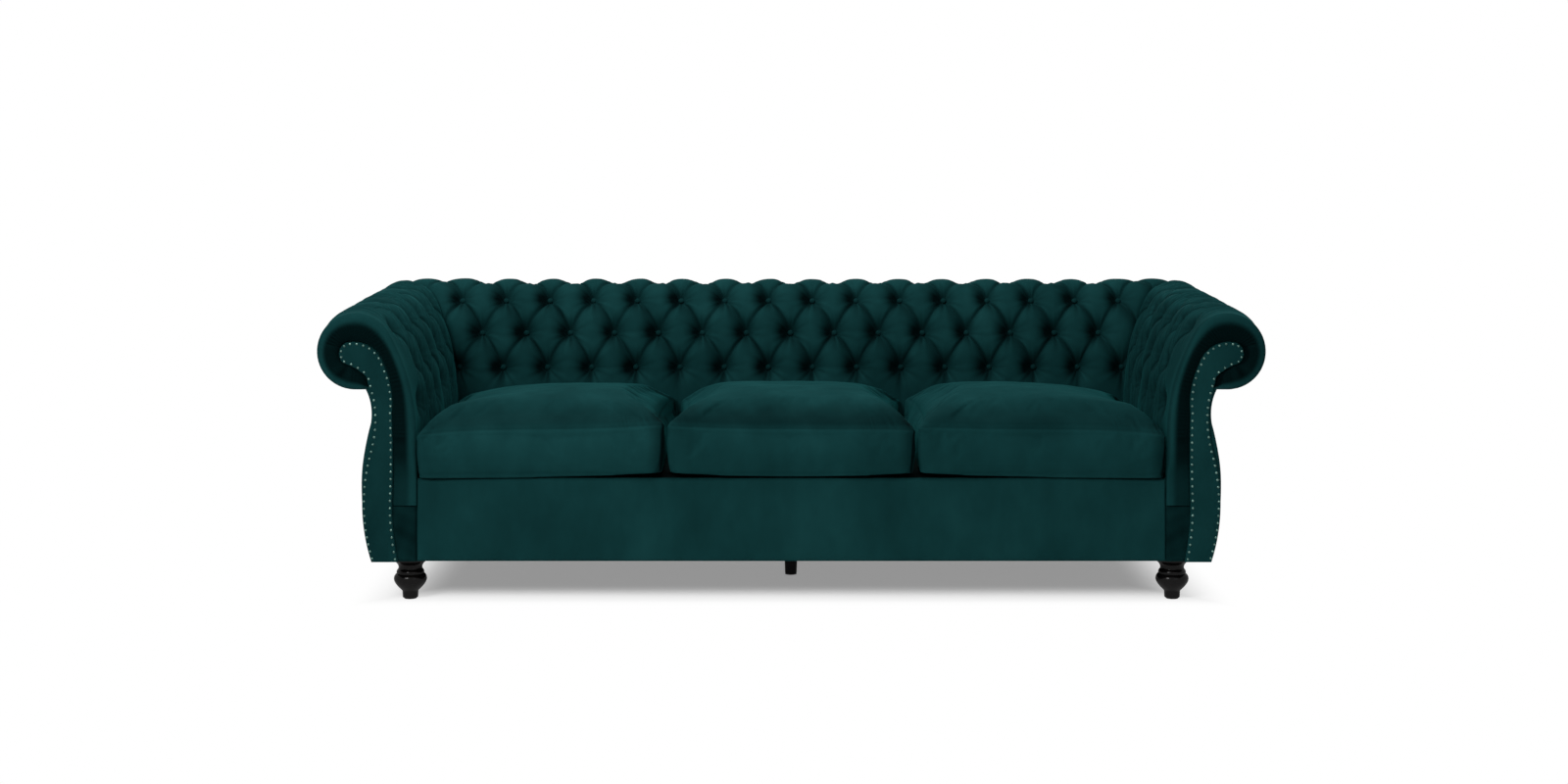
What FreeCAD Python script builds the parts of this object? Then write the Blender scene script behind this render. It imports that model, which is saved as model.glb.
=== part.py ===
import FreeCAD, Part
import math
import os
import Sketcher
from FreeCAD import Placement, Rotation, Vector

# Three-seat sofa with rolled arms and a rolled back of the same height, in millimetres.
# +Z is up, the front faces -Y, and the origin is on the floor under the middle of the sofa.

doc = FreeCAD.newDocument("rolled_arm_sofa")

SIZES = {
    # main sizes
    "seat_width": (1706, "clear width between the arms"),
    "overall_depth": (870, "nail heads to the back of the roll"),
    "arm_height": (663, "floor to the top of the roll at the front of the arm"),
    "roll_rise": (25, "how much higher the roll is at the back corners"),
    "base_height": (97, "floor to the underside of the frame"),
    "deck_height": (286, "floor to the top of the seat deck"),
    # cross-section of the arms and the back
    "roll_radius": (87, "outside radius of the roll"),
    "inside_to_roll": (138, "inside face at the seat to the roll's centre"),
    "inside_lean": (30, "angle that the inside face turns through below the roll"),
    "web_to_roll": (46, "back of the outside panels to the roll's centre"),
    "pad_thickness": (30, "padding over the arm and back boards"),
    "front_pad": (14, "padding over the front of the arm"),
    "pad_seam_height": (225, "floor to the seam below the arm's padding"),
    "corner_ease": (5, "how far the rounded corner stands clear of the roll"),
    # crook-shaped facing panels
    "facing_thickness": (8, "facing panel"),
    "nail_diameter": (8, "nail head across"),
    "nail_height": (2, "nail head above the panel"),
    "nail_pitch": (16.5, "nail to nail"),
    "nail_inset": (4.5, "nail centre to the panel's edge"),
    # boards
    "board_thickness": (18, "plywood of the arm boards and back ribs"),
    "rail_thickness": (20, "seat rails"),
    "side_rail_thickness": (22, "side rails under the arms"),
    "slat_width": (50, "slats inside the rolls"),
    "slat_thickness": (18, "slats inside the rolls"),
    "slat_ease": (7, "air between the padding and the slats"),
    "tack_slat_height": (40, "slats that the inside covers are tacked to"),
    "tack_slat_rise": (13, "seat rails to the tacking slats"),
    "side_rail_ease": (5, "outside of the side rails to the outside panels"),
    "block_size": (80, "corner blocks that carry the feet"),
    "block_height": (40, "corner blocks"),
    "centre_rail_width": (32, "rail under the middle of the seat"),
    "centre_rail_drop": (35, "top of the seat rails to the top of the centre rail"),
    # covers
    "border_thickness": (10, "padded border on the front rail"),
    "panel_thickness": (14, "outside back panel"),
    "dust_cover_thickness": (1, "cloth under the frame"),
    # seat springs and deck
    "springs_per_seat": (3, "zigzag springs under each cushion"),
    "spring_wire": (3.6, "spring wire"),
    "spring_width": (52, "zigzag, side to side"),
    "spring_bends": (8, "bends in one spring"),
    "spring_cloth_thickness": (1.4, "cloth between the springs and the deck pad"),
    "deck_pad_thickness": (19, "felted pad of the seat deck"),
    "clip_length": (18, "spring clips"),
    "clip_height": (7, "spring clips"),
    "clip_width": (14, "spring clips"),
    "clip_inset": (1, "edge of the rail to the clips"),
    # seat cushions
    "cushion_gap": (3, "between two cushions"),
    "clearance": (0.3, "between soft parts that can move apart"),
    "cushion_seam": (114, "deck to the upper seam of a cushion"),
    "cushion_crown": (74, "upper seam to the top of the crown"),
    "cushion_overhang": (6, "cushion front past the front of the arm padding"),
    "cushion_bulge": (9, "how far the front boxing swells"),
    "cushion_corner": (34, "corner radius seen from above"),
    "cushion_wrap": (18, "cover and fibre wrap round the foam"),
    # tufting
    "tuft_pitch": (113, "button to button along a row"),
    "tuft_row_pitch": (91, "row to row over the surface"),
    "tuft_first_row": (-5, "first row, past the top of the roll"),
    "tuft_rows": (4, "rows of buttons"),
    "tuft_front": (66, "arm front to the first button of the odd rows"),
    "button_diameter": (15, "covered button"),
    "button_height": (4, "covered button"),
    # feet
    "glide_height": (2, "glide under each foot"),
    "glide_radius": (14, "glide under each foot"),
    "toe_radius": (16.5, "bottom of the turned foot"),
    "ankle_height": (23, "floor to the underside of the ball"),
    "ball_low_radius": (32, "lower bevel of the ball"),
    "ball_low_height": (34, "floor to the lower bevel of the ball"),
    "ball_radius": (36.5, "ball at its widest"),
    "ball_widest_from": (41, "floor to the widest part of the ball"),
    "ball_widest_to": (49, "floor to the upper bevel of the ball"),
    "ball_top_radius": (28, "ball under the ring"),
    "ring_bottom": (58.5, "floor to the underside of the ring"),
    "ring_radius": (31, "ring at its widest"),
    "ring_top": (69.5, "floor to the top of the ring"),
    "neck_radius": (27, "neck over the ring"),
    "collar_radius": (40, "collar under the frame"),
    "collar_edge": (8, "straight edge of the collar"),
    "centre_foot_radius": (16.5, "plain round centre foot"),
    "bolt_radius": (4, "hanger bolts"),
    "bolt_in_foot": (56, "bolt length inside a foot"),
    "bolt_above_base": (43, "bolt length above the underside of the frame"),
    "plate_size": (44, "threaded plate on each corner block"),
    "plate_thickness": (3, "threaded plate on each corner block"),
}

sheet = doc.addObject("Spreadsheet::Sheet", "Size")
for row, (alias, (value, meaning)) in enumerate(SIZES.items(), start=1):
    sheet.set("A%d" % row, meaning)
    sheet.set("B%d" % row, str(value))
    sheet.setAlias("B%d" % row, alias)
doc.recompute()

# Places that several pieces share, each worked out from the sizes
PLACES = {
    "front": "-Size.overall_depth / 2 + Size.nail_height + Size.facing_thickness",
    "half_seat": "Size.seat_width / 2",
    "roll_x": "Size.seat_width / 2 + Size.inside_to_roll",
    "roll_y": "Size.overall_depth / 2 - Size.roll_radius",
    "back_inside": "Size.overall_depth / 2 - Size.roll_radius - Size.inside_to_roll",
    "roll_z": "Size.arm_height - Size.roll_radius",
    "back_roll_z": "Size.arm_height - Size.roll_radius + Size.roll_rise",
    "web_x": "At.roll_x - Size.web_to_roll",
    "web_y": "At.roll_y - Size.web_to_roll",
    "board_front": "At.front + Size.front_pad",
    "board_back": "At.board_front + Size.board_thickness",
    "rail_back": "At.board_front + Size.rail_thickness",
    "deck_bottom": "Size.deck_height - Size.deck_pad_thickness",
    "spring_top": "At.deck_bottom - Size.spring_cloth_thickness",
    "rail_top": "At.spring_top - Size.spring_wire",
    "rail_height": "At.rail_top - Size.base_height",
    "back_rail_front": "At.web_y - Size.rail_thickness",
    "side_rail_x": "At.web_x - Size.side_rail_ease - Size.side_rail_thickness",
    "rear_board_back": "At.back_inside + Size.pad_thickness",
    "hollow_x": "At.half_seat + Size.pad_thickness",
    "foot_top": "Size.base_height - Size.dust_cover_thickness",
    "foot_x": "At.side_rail_x - Size.block_size / 2",
    "front_foot_y": "At.rail_back + Size.block_size / 2",
    "rear_foot_y": "At.back_rail_front - Size.block_size / 2",
    "centre_foot_y": "(At.rail_back + At.back_rail_front) / 2",
    "block_top": "Size.base_height + Size.block_height",
    "collar_bottom": "At.foot_top - Size.collar_edge",
    "bolt_bottom": "At.foot_top - Size.bolt_in_foot",
    "ring_middle": "(Size.ring_bottom + Size.ring_top) / 2",
    "cushion_width": "(Size.seat_width - 2 * Size.clearance - 2 * Size.cushion_gap) / 3",
    "slat_top": "Size.roll_radius - Size.pad_thickness - Size.slat_ease",
}

places = doc.addObject("App::VarSet", "At")
for name, formula in PLACES.items():
    places.addProperty("App::PropertyFloat", name, "Places")
    places.setExpression(name, formula)
doc.recompute()

subparts = []


def size(name):
    """A size from the sheet."""
    return float(sheet.get(name))


def at(name):
    """A shared place."""
    return float(getattr(places, name))


def named(piece, label):
    """Keep a finished piece under its own name."""
    piece.Label = label
    subparts.append(piece)
    return piece


def board(label, corner, lengths, keep=True):
    """A straight board or sheet, bound to the sizes."""
    piece = doc.addObject("Part::Box", label + "_box")
    for side, formula in zip(("Length", "Width", "Height"), lengths):
        piece.setExpression(side, formula)
    for axis, formula in zip("xyz", corner):
        piece.setExpression("Placement.Base." + axis, formula)
    return named(piece, label) if keep else piece


def mirrored(label, source):
    """The left-hand copy of a right-hand piece."""
    piece = doc.addObject("Part::Mirroring", label + "_mirror")
    piece.Source = source
    piece.Normal = Vector(1, 0, 0)
    return named(piece, label)


def freeform(label, shape, keep=True):
    """A piece whose outline no primitive or sketch feature gives."""
    piece = doc.addObject("Part::Feature", label + "_shape")
    piece.Shape = shape
    return named(piece, label) if keep else piece


def cut(label, base, tools):
    """A piece with others taken out of it."""
    tool = tools[0]
    if len(tools) > 1:
        tool = doc.addObject("Part::MultiFuse", label + "_tools")
        tool.Shapes = tools
    piece = doc.addObject("Part::Cut", label + "_cut")
    piece.Base = base
    piece.Tool = tool
    return named(piece, label)


def cylinder(name, radius, length, x, y, z):
    """A round helper solid standing on its end."""
    piece = doc.addObject("Part::Cylinder", name)
    piece.setExpression("Radius", radius)
    piece.setExpression("Height", length)
    for axis, formula in zip("xyz", (x, y, z)):
        piece.setExpression("Placement.Base." + axis, formula)
    return piece


# Cross-section of an arm, also used for the back

LEAN = math.radians(size("inside_lean"))
INSIDE_TURN = (size("inside_to_roll") - size("roll_radius") * math.cos(LEAN)) / (1 - math.cos(LEAN))
STRAIGHT_TOP = size("roll_radius") * math.sin(LEAN) - INSIDE_TURN * math.sin(LEAN)
RISE = math.atan2(size("roll_rise"), at("roll_y") - at("front"))
REACH = size("roll_radius") + size("corner_ease")
TRIM = 10
SKY = size("arm_height") + size("roll_rise") + TRIM
MITRE = at("roll_x") - at("roll_y")
CORNER = REACH * math.cos(math.pi / 4)
SECTION_BOTTOM = -at("back_roll_z")


def arc_through(first, middle, last):
    """A round edge through three points."""
    return Part.Arc(first, middle, last).toShape()


def section_point(across, up):
    """A point of the cross-section: outwards and up from the roll's centre."""
    return Vector(across, 0, up)


def inside_point(angle, inset=0):
    """A point of the long curve below the roll, by its angle from upright."""
    radius = INSIDE_TURN - inset
    centre_x = INSIDE_TURN - size("inside_to_roll")
    return section_point(centre_x - radius * math.cos(angle), STRAIGHT_TOP + radius * math.sin(angle))


def roll_point(angle, inset=0):
    """A point of the roll, by its angle from the outward side."""
    radius = size("roll_radius") - inset
    return section_point(radius * math.cos(angle), radius * math.sin(angle))


def section(bottom, inset=0):
    """The face of the cross-section, drawn in by inset, down to a given depth below the roll."""
    inside_x = -size("inside_to_roll") + inset
    roll_start = math.pi - LEAN
    low_inside = section_point(inside_x, bottom)
    straight_end = section_point(inside_x, STRAIGHT_TOP)
    roll_bottom = roll_point(-math.pi / 2, inset)
    under_roll = section_point(-size("web_to_roll"), -size("roll_radius") + inset)
    low_web = section_point(-size("web_to_roll"), bottom)
    edges = [
        Part.makeLine(low_inside, straight_end),
        Part.Arc(straight_end, inside_point(LEAN / 2, inset), inside_point(LEAN, inset)).toShape(),
        Part.Arc(roll_point(roll_start, inset), roll_point(math.pi / 6, inset), roll_bottom).toShape(),
        Part.makeLine(roll_bottom, under_roll),
        Part.makeLine(under_roll, low_web),
        Part.makeLine(low_web, low_inside),
    ]
    return Part.Face(Part.Wire(Part.__sortEdges__(edges)))


def on_arm(face, y_start, y_end):
    """The section swept along the right arm, rising gently towards the back, between upright ends."""
    margin = 2 * TRIM + at("back_roll_z") * math.tan(RISE)
    run = y_end - y_start + 2 * margin
    height = at("roll_z") + math.tan(RISE) * (y_start - margin - at("front"))
    tilted = face.rotated(Vector(0, 0, 0), Vector(1, 0, 0), math.degrees(RISE))
    swept = tilted.translated(Vector(at("roll_x"), y_start - margin, height))
    solid = swept.extrude(Vector(0, run, run * math.tan(RISE)))
    return solid.common(block_between((0, y_start, 0), (2 * at("roll_x"), y_end, 2 * SKY)))


def on_back(face, x_start, x_end):
    """The section turned to face the front and swept along the back."""
    turned = face.rotated(Vector(0, 0, 0), Vector(0, 0, 1), 90)
    start = Vector(x_start, at("roll_y"), at("back_roll_z"))
    return turned.translated(start).extrude(Vector(x_end - x_start, 0, 0))


def block_between(low, high):
    """A plain box between two corners, for trimming."""
    return Part.makeBox(high[0] - low[0], high[1] - low[1], high[2] - low[2], Vector(*low))


def corner_arc(side):
    """The rounded rear corner in plan, from the side of the sofa to its back."""
    centre = Vector(side * at("roll_x"), at("roll_y"), 0)
    start = centre + Vector(side * REACH, 0, 0)
    middle = centre + Vector(side * CORNER, CORNER, 0)
    end = centre + Vector(0, REACH, 0)
    return start, middle, end


def plan_prism(wire_edges, bottom):
    """A plan outline raised from the bottom past the top of the sofa."""
    face = Part.Face(Part.Wire(Part.__sortEdges__(wire_edges)))
    return face.translated(Vector(0, 0, bottom)).extrude(Vector(0, 0, SKY - bottom))


def arm_region(bottom):
    """The space that the right arm's padding may fill, up to the mitre at the corner."""
    start, middle, _ = corner_arc(1)
    inner_x = at("half_seat") - TRIM
    front_inner = Vector(inner_x, at("front") - TRIM, 0)
    front_outer = Vector(start.x, at("front") - TRIM, 0)
    mitre_inner = Vector(inner_x, inner_x - MITRE, 0)
    quarter = Vector(at("roll_x"), at("roll_y"), 0)
    turn = math.pi / 8
    halfway = quarter + Vector(REACH * math.cos(turn), REACH * math.sin(turn), 0)
    edges = [
        Part.makeLine(mitre_inner, front_inner),
        Part.makeLine(front_inner, front_outer),
        Part.makeLine(front_outer, start),
        Part.Arc(start, halfway, middle).toShape(),
        Part.makeLine(middle, mitre_inner),
    ]
    return plan_prism(edges, bottom)


def back_region(bottom):
    """The space that the back's padding may fill, between the two mitres."""
    inner_x = at("half_seat") - TRIM
    edges = [Part.makeLine(Vector(-inner_x, inner_x - MITRE, 0), Vector(inner_x, inner_x - MITRE, 0))]
    turn = 3 * math.pi / 8
    ends = {}
    for side in (-1, 1):
        _, middle, end = corner_arc(side)
        centre = Vector(side * at("roll_x"), at("roll_y"), 0)
        halfway = centre + Vector(side * REACH * math.cos(turn), REACH * math.sin(turn), 0)
        edges.append(Part.makeLine(Vector(side * inner_x, inner_x - MITRE, 0), middle))
        edges.append(Part.Arc(middle, halfway, end).toShape())
        ends[side] = end
    edges.append(Part.makeLine(ends[-1], ends[1]))
    return plan_prism(edges, bottom)


# Padding of the arms and the back

def arm_pad():
    """Inside arm and roll padding: a sleeve over the arm's boards, closed at the front."""
    solid = on_arm(section(SECTION_BOTTOM), at("front"), at("roll_y") + REACH)
    hollow = on_arm(section(SECTION_BOTTOM, size("pad_thickness")), at("board_front"), at("roll_y") + REACH)
    rail_end = block_between((0, at("board_front"), 0), (at("hollow_x"), at("rail_back"), at("rail_top")))
    padding = solid.cut(hollow).cut(rail_end)
    return padding.common(arm_region(size("pad_seam_height"))).removeSplitter()


def back_pad():
    """Inside back and roll padding, mitred into the arms."""
    outer = at("roll_x") + REACH
    solid = on_back(section(SECTION_BOTTOM), -outer, outer)
    hollow = on_back(section(SECTION_BOTTOM, size("pad_thickness")), -outer, outer)
    return solid.cut(hollow).common(back_region(at("deck_bottom"))).removeSplitter()


arm_pad_right = freeform("arm_pad_right", arm_pad())
mirrored("arm_pad_left", arm_pad_right)
freeform("back_pad", back_pad())

# Outside arm panels: a padded panel that swells low down and draws in at the neck

# Share of the height from the base to the underside of the roll, and share of the way from the
# inside face of the arm to its web, which the panel stands out past
PANEL_FOOT = (0.0, 1.11)
PANEL_SWELL = ((0.36, 1.36), (0.80, 1.13))
PANEL_TOP = ((0.91, 1.14), (1.0, 1.27))


def arm_point(height_share, thickness_share):
    """A point of the section below the roll, by shares of the arm's height and thickness."""
    base = size("base_height") - at("roll_z")
    thickness = size("inside_to_roll") - size("web_to_roll")
    across = -size("inside_to_roll") + thickness_share * thickness
    return section_point(across, base + height_share * (-size("roll_radius") - base))


def outside_arm_panel():
    """The panel's outline, swept along the arm and cut level at the base."""
    foot = arm_point(*PANEL_FOOT)
    swell, neck = [arm_point(*shares) for shares in PANEL_SWELL]
    hollow, top = [arm_point(*shares) for shares in PANEL_TOP]
    web_top = arm_point(1, 1)
    below = Vector(0, 0, -size("roll_rise") - TRIM)
    heel, web_bottom = foot + below, arm_point(0, 1) + below
    edges = [
        arc_through(foot, swell, neck),
        arc_through(neck, hollow, top),
        Part.makeLine(top, web_top),
        Part.makeLine(web_top, web_bottom),
        Part.makeLine(web_bottom, heel),
        Part.makeLine(heel, foot),
    ]
    face = Part.Face(Part.Wire(edges))
    solid = on_arm(face, at("front"), at("web_y") + size("panel_thickness"))
    room = block_between((0, at("front") - TRIM, size("base_height")), (2 * at("roll_x"), 2 * at("roll_y"), SKY))
    return solid.common(room)


outside_right = freeform("outside_arm_panel_right", outside_arm_panel())
mirrored("outside_arm_panel_left", outside_right)
board(
    "outside_back_panel",
    ("-At.web_x", "At.web_y", "Size.base_height"),
    ("2 * At.web_x", "Size.panel_thickness", "At.back_roll_z - Size.roll_radius - Size.base_height"),
)

# Boards inside the arms

FRONT_BOTTOM = size("base_height") - at("roll_z")
arm_front = on_arm(section(FRONT_BOTTOM - TRIM, size("pad_thickness")), at("board_front"), at("board_back"))
above_base = block_between((0, at("front"), size("base_height")), (2 * at("roll_x"), at("roll_y"), SKY))
arm_front_right = freeform("arm_front_board_right", arm_front.common(above_base))
mirrored("arm_front_board_left", arm_front_right)

rear_start = at("rear_board_back") - size("board_thickness")
arm_rear = on_arm(section(FRONT_BOTTOM, size("pad_thickness")), rear_start, at("rear_board_back"))
above_rail = block_between((0, at("front"), at("rail_top")), (2 * at("roll_x"), at("roll_y"), SKY))
arm_rear_right = freeform("arm_rear_board_right", arm_rear.common(above_rail))
mirrored("arm_rear_board_left", arm_rear_right)

slat_length = "At.rear_board_back - Size.board_thickness - At.board_back"
top_slat_right = board(
    "arm_top_slat_right",
    ("At.roll_x - Size.slat_width / 2", "At.board_back", "At.roll_z + At.slat_top - Size.slat_thickness"),
    ("Size.slat_width", slat_length, "Size.slat_thickness"),
)
mirrored("arm_top_slat_left", top_slat_right)
tack_slat_right = board(
    "arm_tack_slat_right",
    ("At.hollow_x", "At.board_back", "At.rail_top + Size.tack_slat_rise"),
    ("Size.slat_thickness", slat_length, "Size.tack_slat_height"),
)
mirrored("arm_tack_slat_left", tack_slat_right)
side_rail_right = board(
    "side_rail_right",
    ("At.side_rail_x", "At.board_back", "Size.base_height"),
    ("Size.side_rail_thickness", "At.back_rail_front - At.board_back", "At.rail_height"),
)
mirrored("side_rail_left", side_rail_right)

# Seat frame

board(
    "front_rail",
    ("-At.hollow_x", "At.board_front", "Size.base_height"),
    ("2 * At.hollow_x", "Size.rail_thickness", "At.rail_height"),
)
board(
    "back_rail",
    ("-At.side_rail_x - Size.side_rail_thickness", "At.back_rail_front", "Size.base_height"),
    ("2 * (At.side_rail_x + Size.side_rail_thickness)", "Size.rail_thickness", "At.rail_height"),
)

# Back frame: slats run the whole width and are let into plywood ribs cut to the section

back_top_slat = board(
    "back_top_slat",
    ("-At.hollow_x", "At.roll_y - Size.slat_width / 2", "At.back_roll_z + At.slat_top - Size.slat_thickness"),
    ("2 * At.hollow_x", "Size.slat_width", "Size.slat_thickness"),
)
back_tack_slat = board(
    "back_tack_slat",
    ("-At.hollow_x", "At.rear_board_back", "At.rail_top + Size.tack_slat_rise"),
    ("2 * At.hollow_x", "Size.slat_thickness", "Size.tack_slat_height"),
)

rib_step = (2 * at("hollow_x") - size("board_thickness")) / 3
RIB_NAMES = ("back_rib_left", "back_rib_mid_left", "back_rib_mid_right", "back_rib_right")
for number, rib_name in enumerate(RIB_NAMES):
    rib_x = -at("hollow_x") + number * rib_step
    rib = on_back(section(SECTION_BOTTOM, size("pad_thickness")), rib_x, rib_x + size("board_thickness"))
    room = block_between((rib_x - TRIM, 0, at("rail_top")), (rib_x + rib_step, 2 * at("roll_y"), SKY))
    rib_blank = freeform(rib_name + "_blank", rib.common(room), keep=False)
    cut(rib_name, rib_blank, [back_top_slat, back_tack_slat])

# Crook-shaped facing panels on the arm fronts, with their rows of nail heads

# Corners and the arcs between them, from the outer foot round the curl to the inner foot.
# A leg point is given like the outside panel's, by shares of the arm's height and thickness,
# and a curl point is across and up from the roll's centre, in roll radii.
FACING_RISE = (("leg", 0.0, 1.098), ("leg", 0.32, 1.326), ("leg", 0.64, 1.147))
FACING_NECK = (("leg", 0.80, 1.043), ("leg", 0.93, 1.071))
FACING_UNDER = (("curl", -0.29, -0.66), ("curl", 0.03, -0.43), ("curl", 0.31, -0.31))
FACING_TIP = (("curl", 0.42, -0.02), ("curl", 0.22, 0.23))
FACING_TOP = (("curl", -0.33, 0.16), ("curl", -0.75, -0.34))
FACING_THROAT = (("curl", -0.90, -0.74), ("leg", 0.86, 0.582))
FACING_INSIDE = (("leg", 0.60, 0.565), ("leg", 0.34, 0.587))
FACING_FOOT = (("leg", 0.17, 0.554), ("leg", 0.0, 0.446))


def facing_point(kind, first, second):
    """One point of the facing's outline, at the front of the right arm."""
    if kind == "leg":
        spot = arm_point(first, second)
    else:
        spot = section_point(first * size("roll_radius"), second * size("roll_radius"))
    return spot + Vector(at("roll_x"), at("front"), at("roll_z"))


def facing_edges():
    """The long curved edge of the right facing as a chain of arcs."""
    stretches = (
        FACING_NECK,
        FACING_UNDER[:1],
        FACING_UNDER[1:],
        FACING_TIP,
        FACING_TOP,
        FACING_THROAT,
        FACING_INSIDE,
        FACING_FOOT,
    )
    start, middle, corner = [facing_point(*spec) for spec in FACING_RISE]
    edges = [arc_through(start, middle, corner)]
    for stretch in stretches:
        spots = [facing_point(*spec) for spec in stretch]
        edge = Part.makeLine(corner, spots[0]) if len(spots) == 1 else arc_through(corner, *spots)
        edges.append(edge)
        corner = spots[-1]
    return edges


FACING_EDGES = facing_edges()
FACING_LENGTH = sum(edge.Length for edge in FACING_EDGES)


def along_facing(length):
    """Point and direction at a length along the facing's edge from its outer foot."""
    for edge in FACING_EDGES[:-1]:
        if length <= edge.Length:
            break
        length -= edge.Length
    else:
        edge = FACING_EDGES[-1]
    parameter = edge.getParameterByLength(length)
    return edge.valueAt(parameter), edge.tangentAt(parameter)


def facing_panel():
    """The facing's face between its long edge and its foot, given its thickness."""
    outer_foot = facing_point(*FACING_RISE[0])
    inner_foot = facing_point(*FACING_FOOT[-1])
    face = Part.Face(Part.Wire(FACING_EDGES + [Part.makeLine(inner_foot, outer_foot)]))
    return face.extrude(Vector(0, -size("facing_thickness"), 0))


def low_dome(radius, height):
    """A low six-sided head standing on +Z, brought to a point."""
    rim = [Vector(radius * math.cos(k * math.pi / 3), radius * math.sin(k * math.pi / 3), 0) for k in range(6)]
    top = Vector(0, 0, height)
    outlines = [rim] + [[rim[k - 1], rim[k], top] for k in range(6)]
    faces = [Part.Face(Part.makePolygon(outline + outline[:1])) for outline in outlines]
    return Part.Solid(Part.Shell(faces))


def placed(shape, spot, direction):
    """A copy of a shape moved to a spot with its +Z along a direction."""
    copy = shape.copy()
    copy.Placement = Placement(spot, Rotation(Vector(0, 0, 1), direction))
    return copy


def facing_nails():
    """Nail heads along the facing's edge, evenly spaced and set in from it."""
    radius = size("nail_diameter") / 2
    head = low_dome(radius, size("nail_height"))
    margin = size("nail_diameter")
    count = int(round((FACING_LENGTH - 2 * margin) / size("nail_pitch")))
    step = (FACING_LENGTH - 2 * margin) / count
    heads = []
    for number in range(count + 1):
        spot, direction = along_facing(margin + number * step)
        inwards = Vector(direction.z, 0, -direction.x)
        spot = spot - inwards * size("nail_inset")
        spot.y = at("front") - size("facing_thickness")
        heads.append(placed(head, spot, Vector(0, -1, 0)))
    return Part.makeCompound(heads)


facing_right = freeform("facing_panel_right", facing_panel())
mirrored("facing_panel_left", facing_right)
nails_right = freeform("facing_nails_right", facing_nails())
mirrored("facing_nails_left", nails_right)

base_border_right = board(
    "arm_base_border_right",
    ("At.half_seat", "At.front", "Size.base_height"),
    ("At.web_x - At.half_seat", "Size.front_pad", "Size.pad_seam_height - Size.base_height"),
)
mirrored("arm_base_border_left", base_border_right)
board(
    "front_border",
    ("-At.half_seat + Size.clearance", "At.board_front - Size.border_thickness", "Size.base_height"),
    ("Size.seat_width - 2 * Size.clearance", "Size.border_thickness", "Size.deck_height - Size.base_height"),
)

# Covered buttons of the diamond tufting

ROLL_SHARE = size("roll_radius") * (math.pi / 2 - LEAN)


def tuft_spot(length):
    """Point and outward normal at a length over the surface from the roll's top, towards the inside."""
    if length <= ROLL_SHARE:
        angle = math.pi / 2 + length / size("roll_radius")
        return roll_point(angle), section_point(math.cos(angle), math.sin(angle))
    angle = LEAN - (length - ROLL_SHARE) / INSIDE_TURN
    return inside_point(angle), section_point(-math.cos(angle), math.sin(angle))


button = low_dome(size("button_diameter") / 2, size("button_height"))


def row_shift(row):
    """Every second row stands half a pitch along, which makes the diamonds."""
    return 0.5 if row % 2 else 0.0


def back_buttons():
    """Buttons over the inside back."""
    pitch = size("tuft_pitch")
    buttons = []
    for row in range(int(size("tuft_rows"))):
        spot, normal = tuft_spot(size("tuft_first_row") + row * size("tuft_row_pitch"))
        room = at("half_seat") / pitch
        first = -math.floor(room - row_shift(row)) - row_shift(row)
        for number in range(int(round(-2 * first)) + 1):
            place = Vector((first + number) * pitch, at("roll_y") + spot.x, at("back_roll_z") + spot.z)
            buttons.append(placed(button, place, Vector(0, normal.x, normal.z)))
    return Part.makeCompound(buttons)


def arm_buttons():
    """Buttons over the inside of the right arm, standing square to its rising surface."""
    pitch = size("tuft_pitch")
    upwards = Vector(0, -math.sin(RISE), math.cos(RISE))
    buttons = []
    for row in range(int(size("tuft_rows"))):
        spot, normal = tuft_spot(size("tuft_first_row") + row * size("tuft_row_pitch"))
        along = size("tuft_front") + (0.5 - row_shift(row)) * pitch
        while at("front") + along < at("roll_y") + spot.x - size("button_diameter"):
            centre = Vector(at("roll_x"), at("front") + along, at("roll_z") + math.tan(RISE) * along)
            place = centre + Vector(spot.x, 0, 0) + upwards * spot.z
            buttons.append(placed(button, place, Vector(normal.x, 0, 0) + upwards * normal.z))
            along += pitch
    return Part.makeCompound(buttons)


freeform("back_buttons", back_buttons())
buttons_right = freeform("arm_buttons_right", arm_buttons())
mirrored("arm_buttons_left", buttons_right)

# Seat springs, clips, cloth and deck pad


def band_around(path, half_width):
    """The outline of a flat band of even width along a path of straight runs."""
    runs = [(end - start).normalize() for start, end in zip(path, path[1:])]
    sides = [Vector(-run.y, run.x, 0) for run in runs]
    left, right = [], []
    for spot, before, after in zip(path, sides[:1] + sides, sides + sides[-1:]):
        mitre = (before + after) * (half_width / (1 + before.dot(after)))
        left.append(spot + mitre)
        right.append(spot - mitre)
    outline = left + right[::-1]
    return Part.Face(Part.makePolygon(outline + outline[:1]))


def zigzag(x_centre):
    """One flat zigzag spring from the front rail to the back rail."""
    start = at("board_front") + size("spring_wire")
    end = at("web_y") - size("spring_wire")
    step = (end - start) / size("spring_bends")
    reach = (size("spring_width") - size("spring_wire")) / 2
    path = [Vector(x_centre, start, 0)]
    side = 1
    for bend in range(int(size("spring_bends"))):
        near = start + bend * step
        path.append(Vector(x_centre + side * reach, near, 0))
        path.append(Vector(x_centre + side * reach, near + step, 0))
        side = -side
    path.append(Vector(x_centre, end, 0))
    band = band_around(path, size("spring_wire") / 2)
    return band.translated(Vector(0, 0, at("rail_top"))).extrude(Vector(0, 0, size("spring_wire")))


def spring_centres():
    """Where the springs run, the same number under each cushion."""
    per_seat = int(size("springs_per_seat"))
    seat = size("seat_width") / 3
    return [
        -at("half_seat") + seat * (cushion + (number + 0.5) / per_seat)
        for cushion in range(3)
        for number in range(per_seat)
    ]


def spring_clips():
    """A clip over each end of each spring, on the rails."""
    length, width, height = size("clip_length"), size("clip_width"), size("clip_height")
    clips = []
    for x in spring_centres():
        for y in (at("board_front") + size("clip_inset"), at("web_y") - size("clip_inset") - width):
            clips.append(Part.makeBox(length, width, height, Vector(x - length / 2, y, at("rail_top") - height)))
    return Part.makeCompound(clips)


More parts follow.
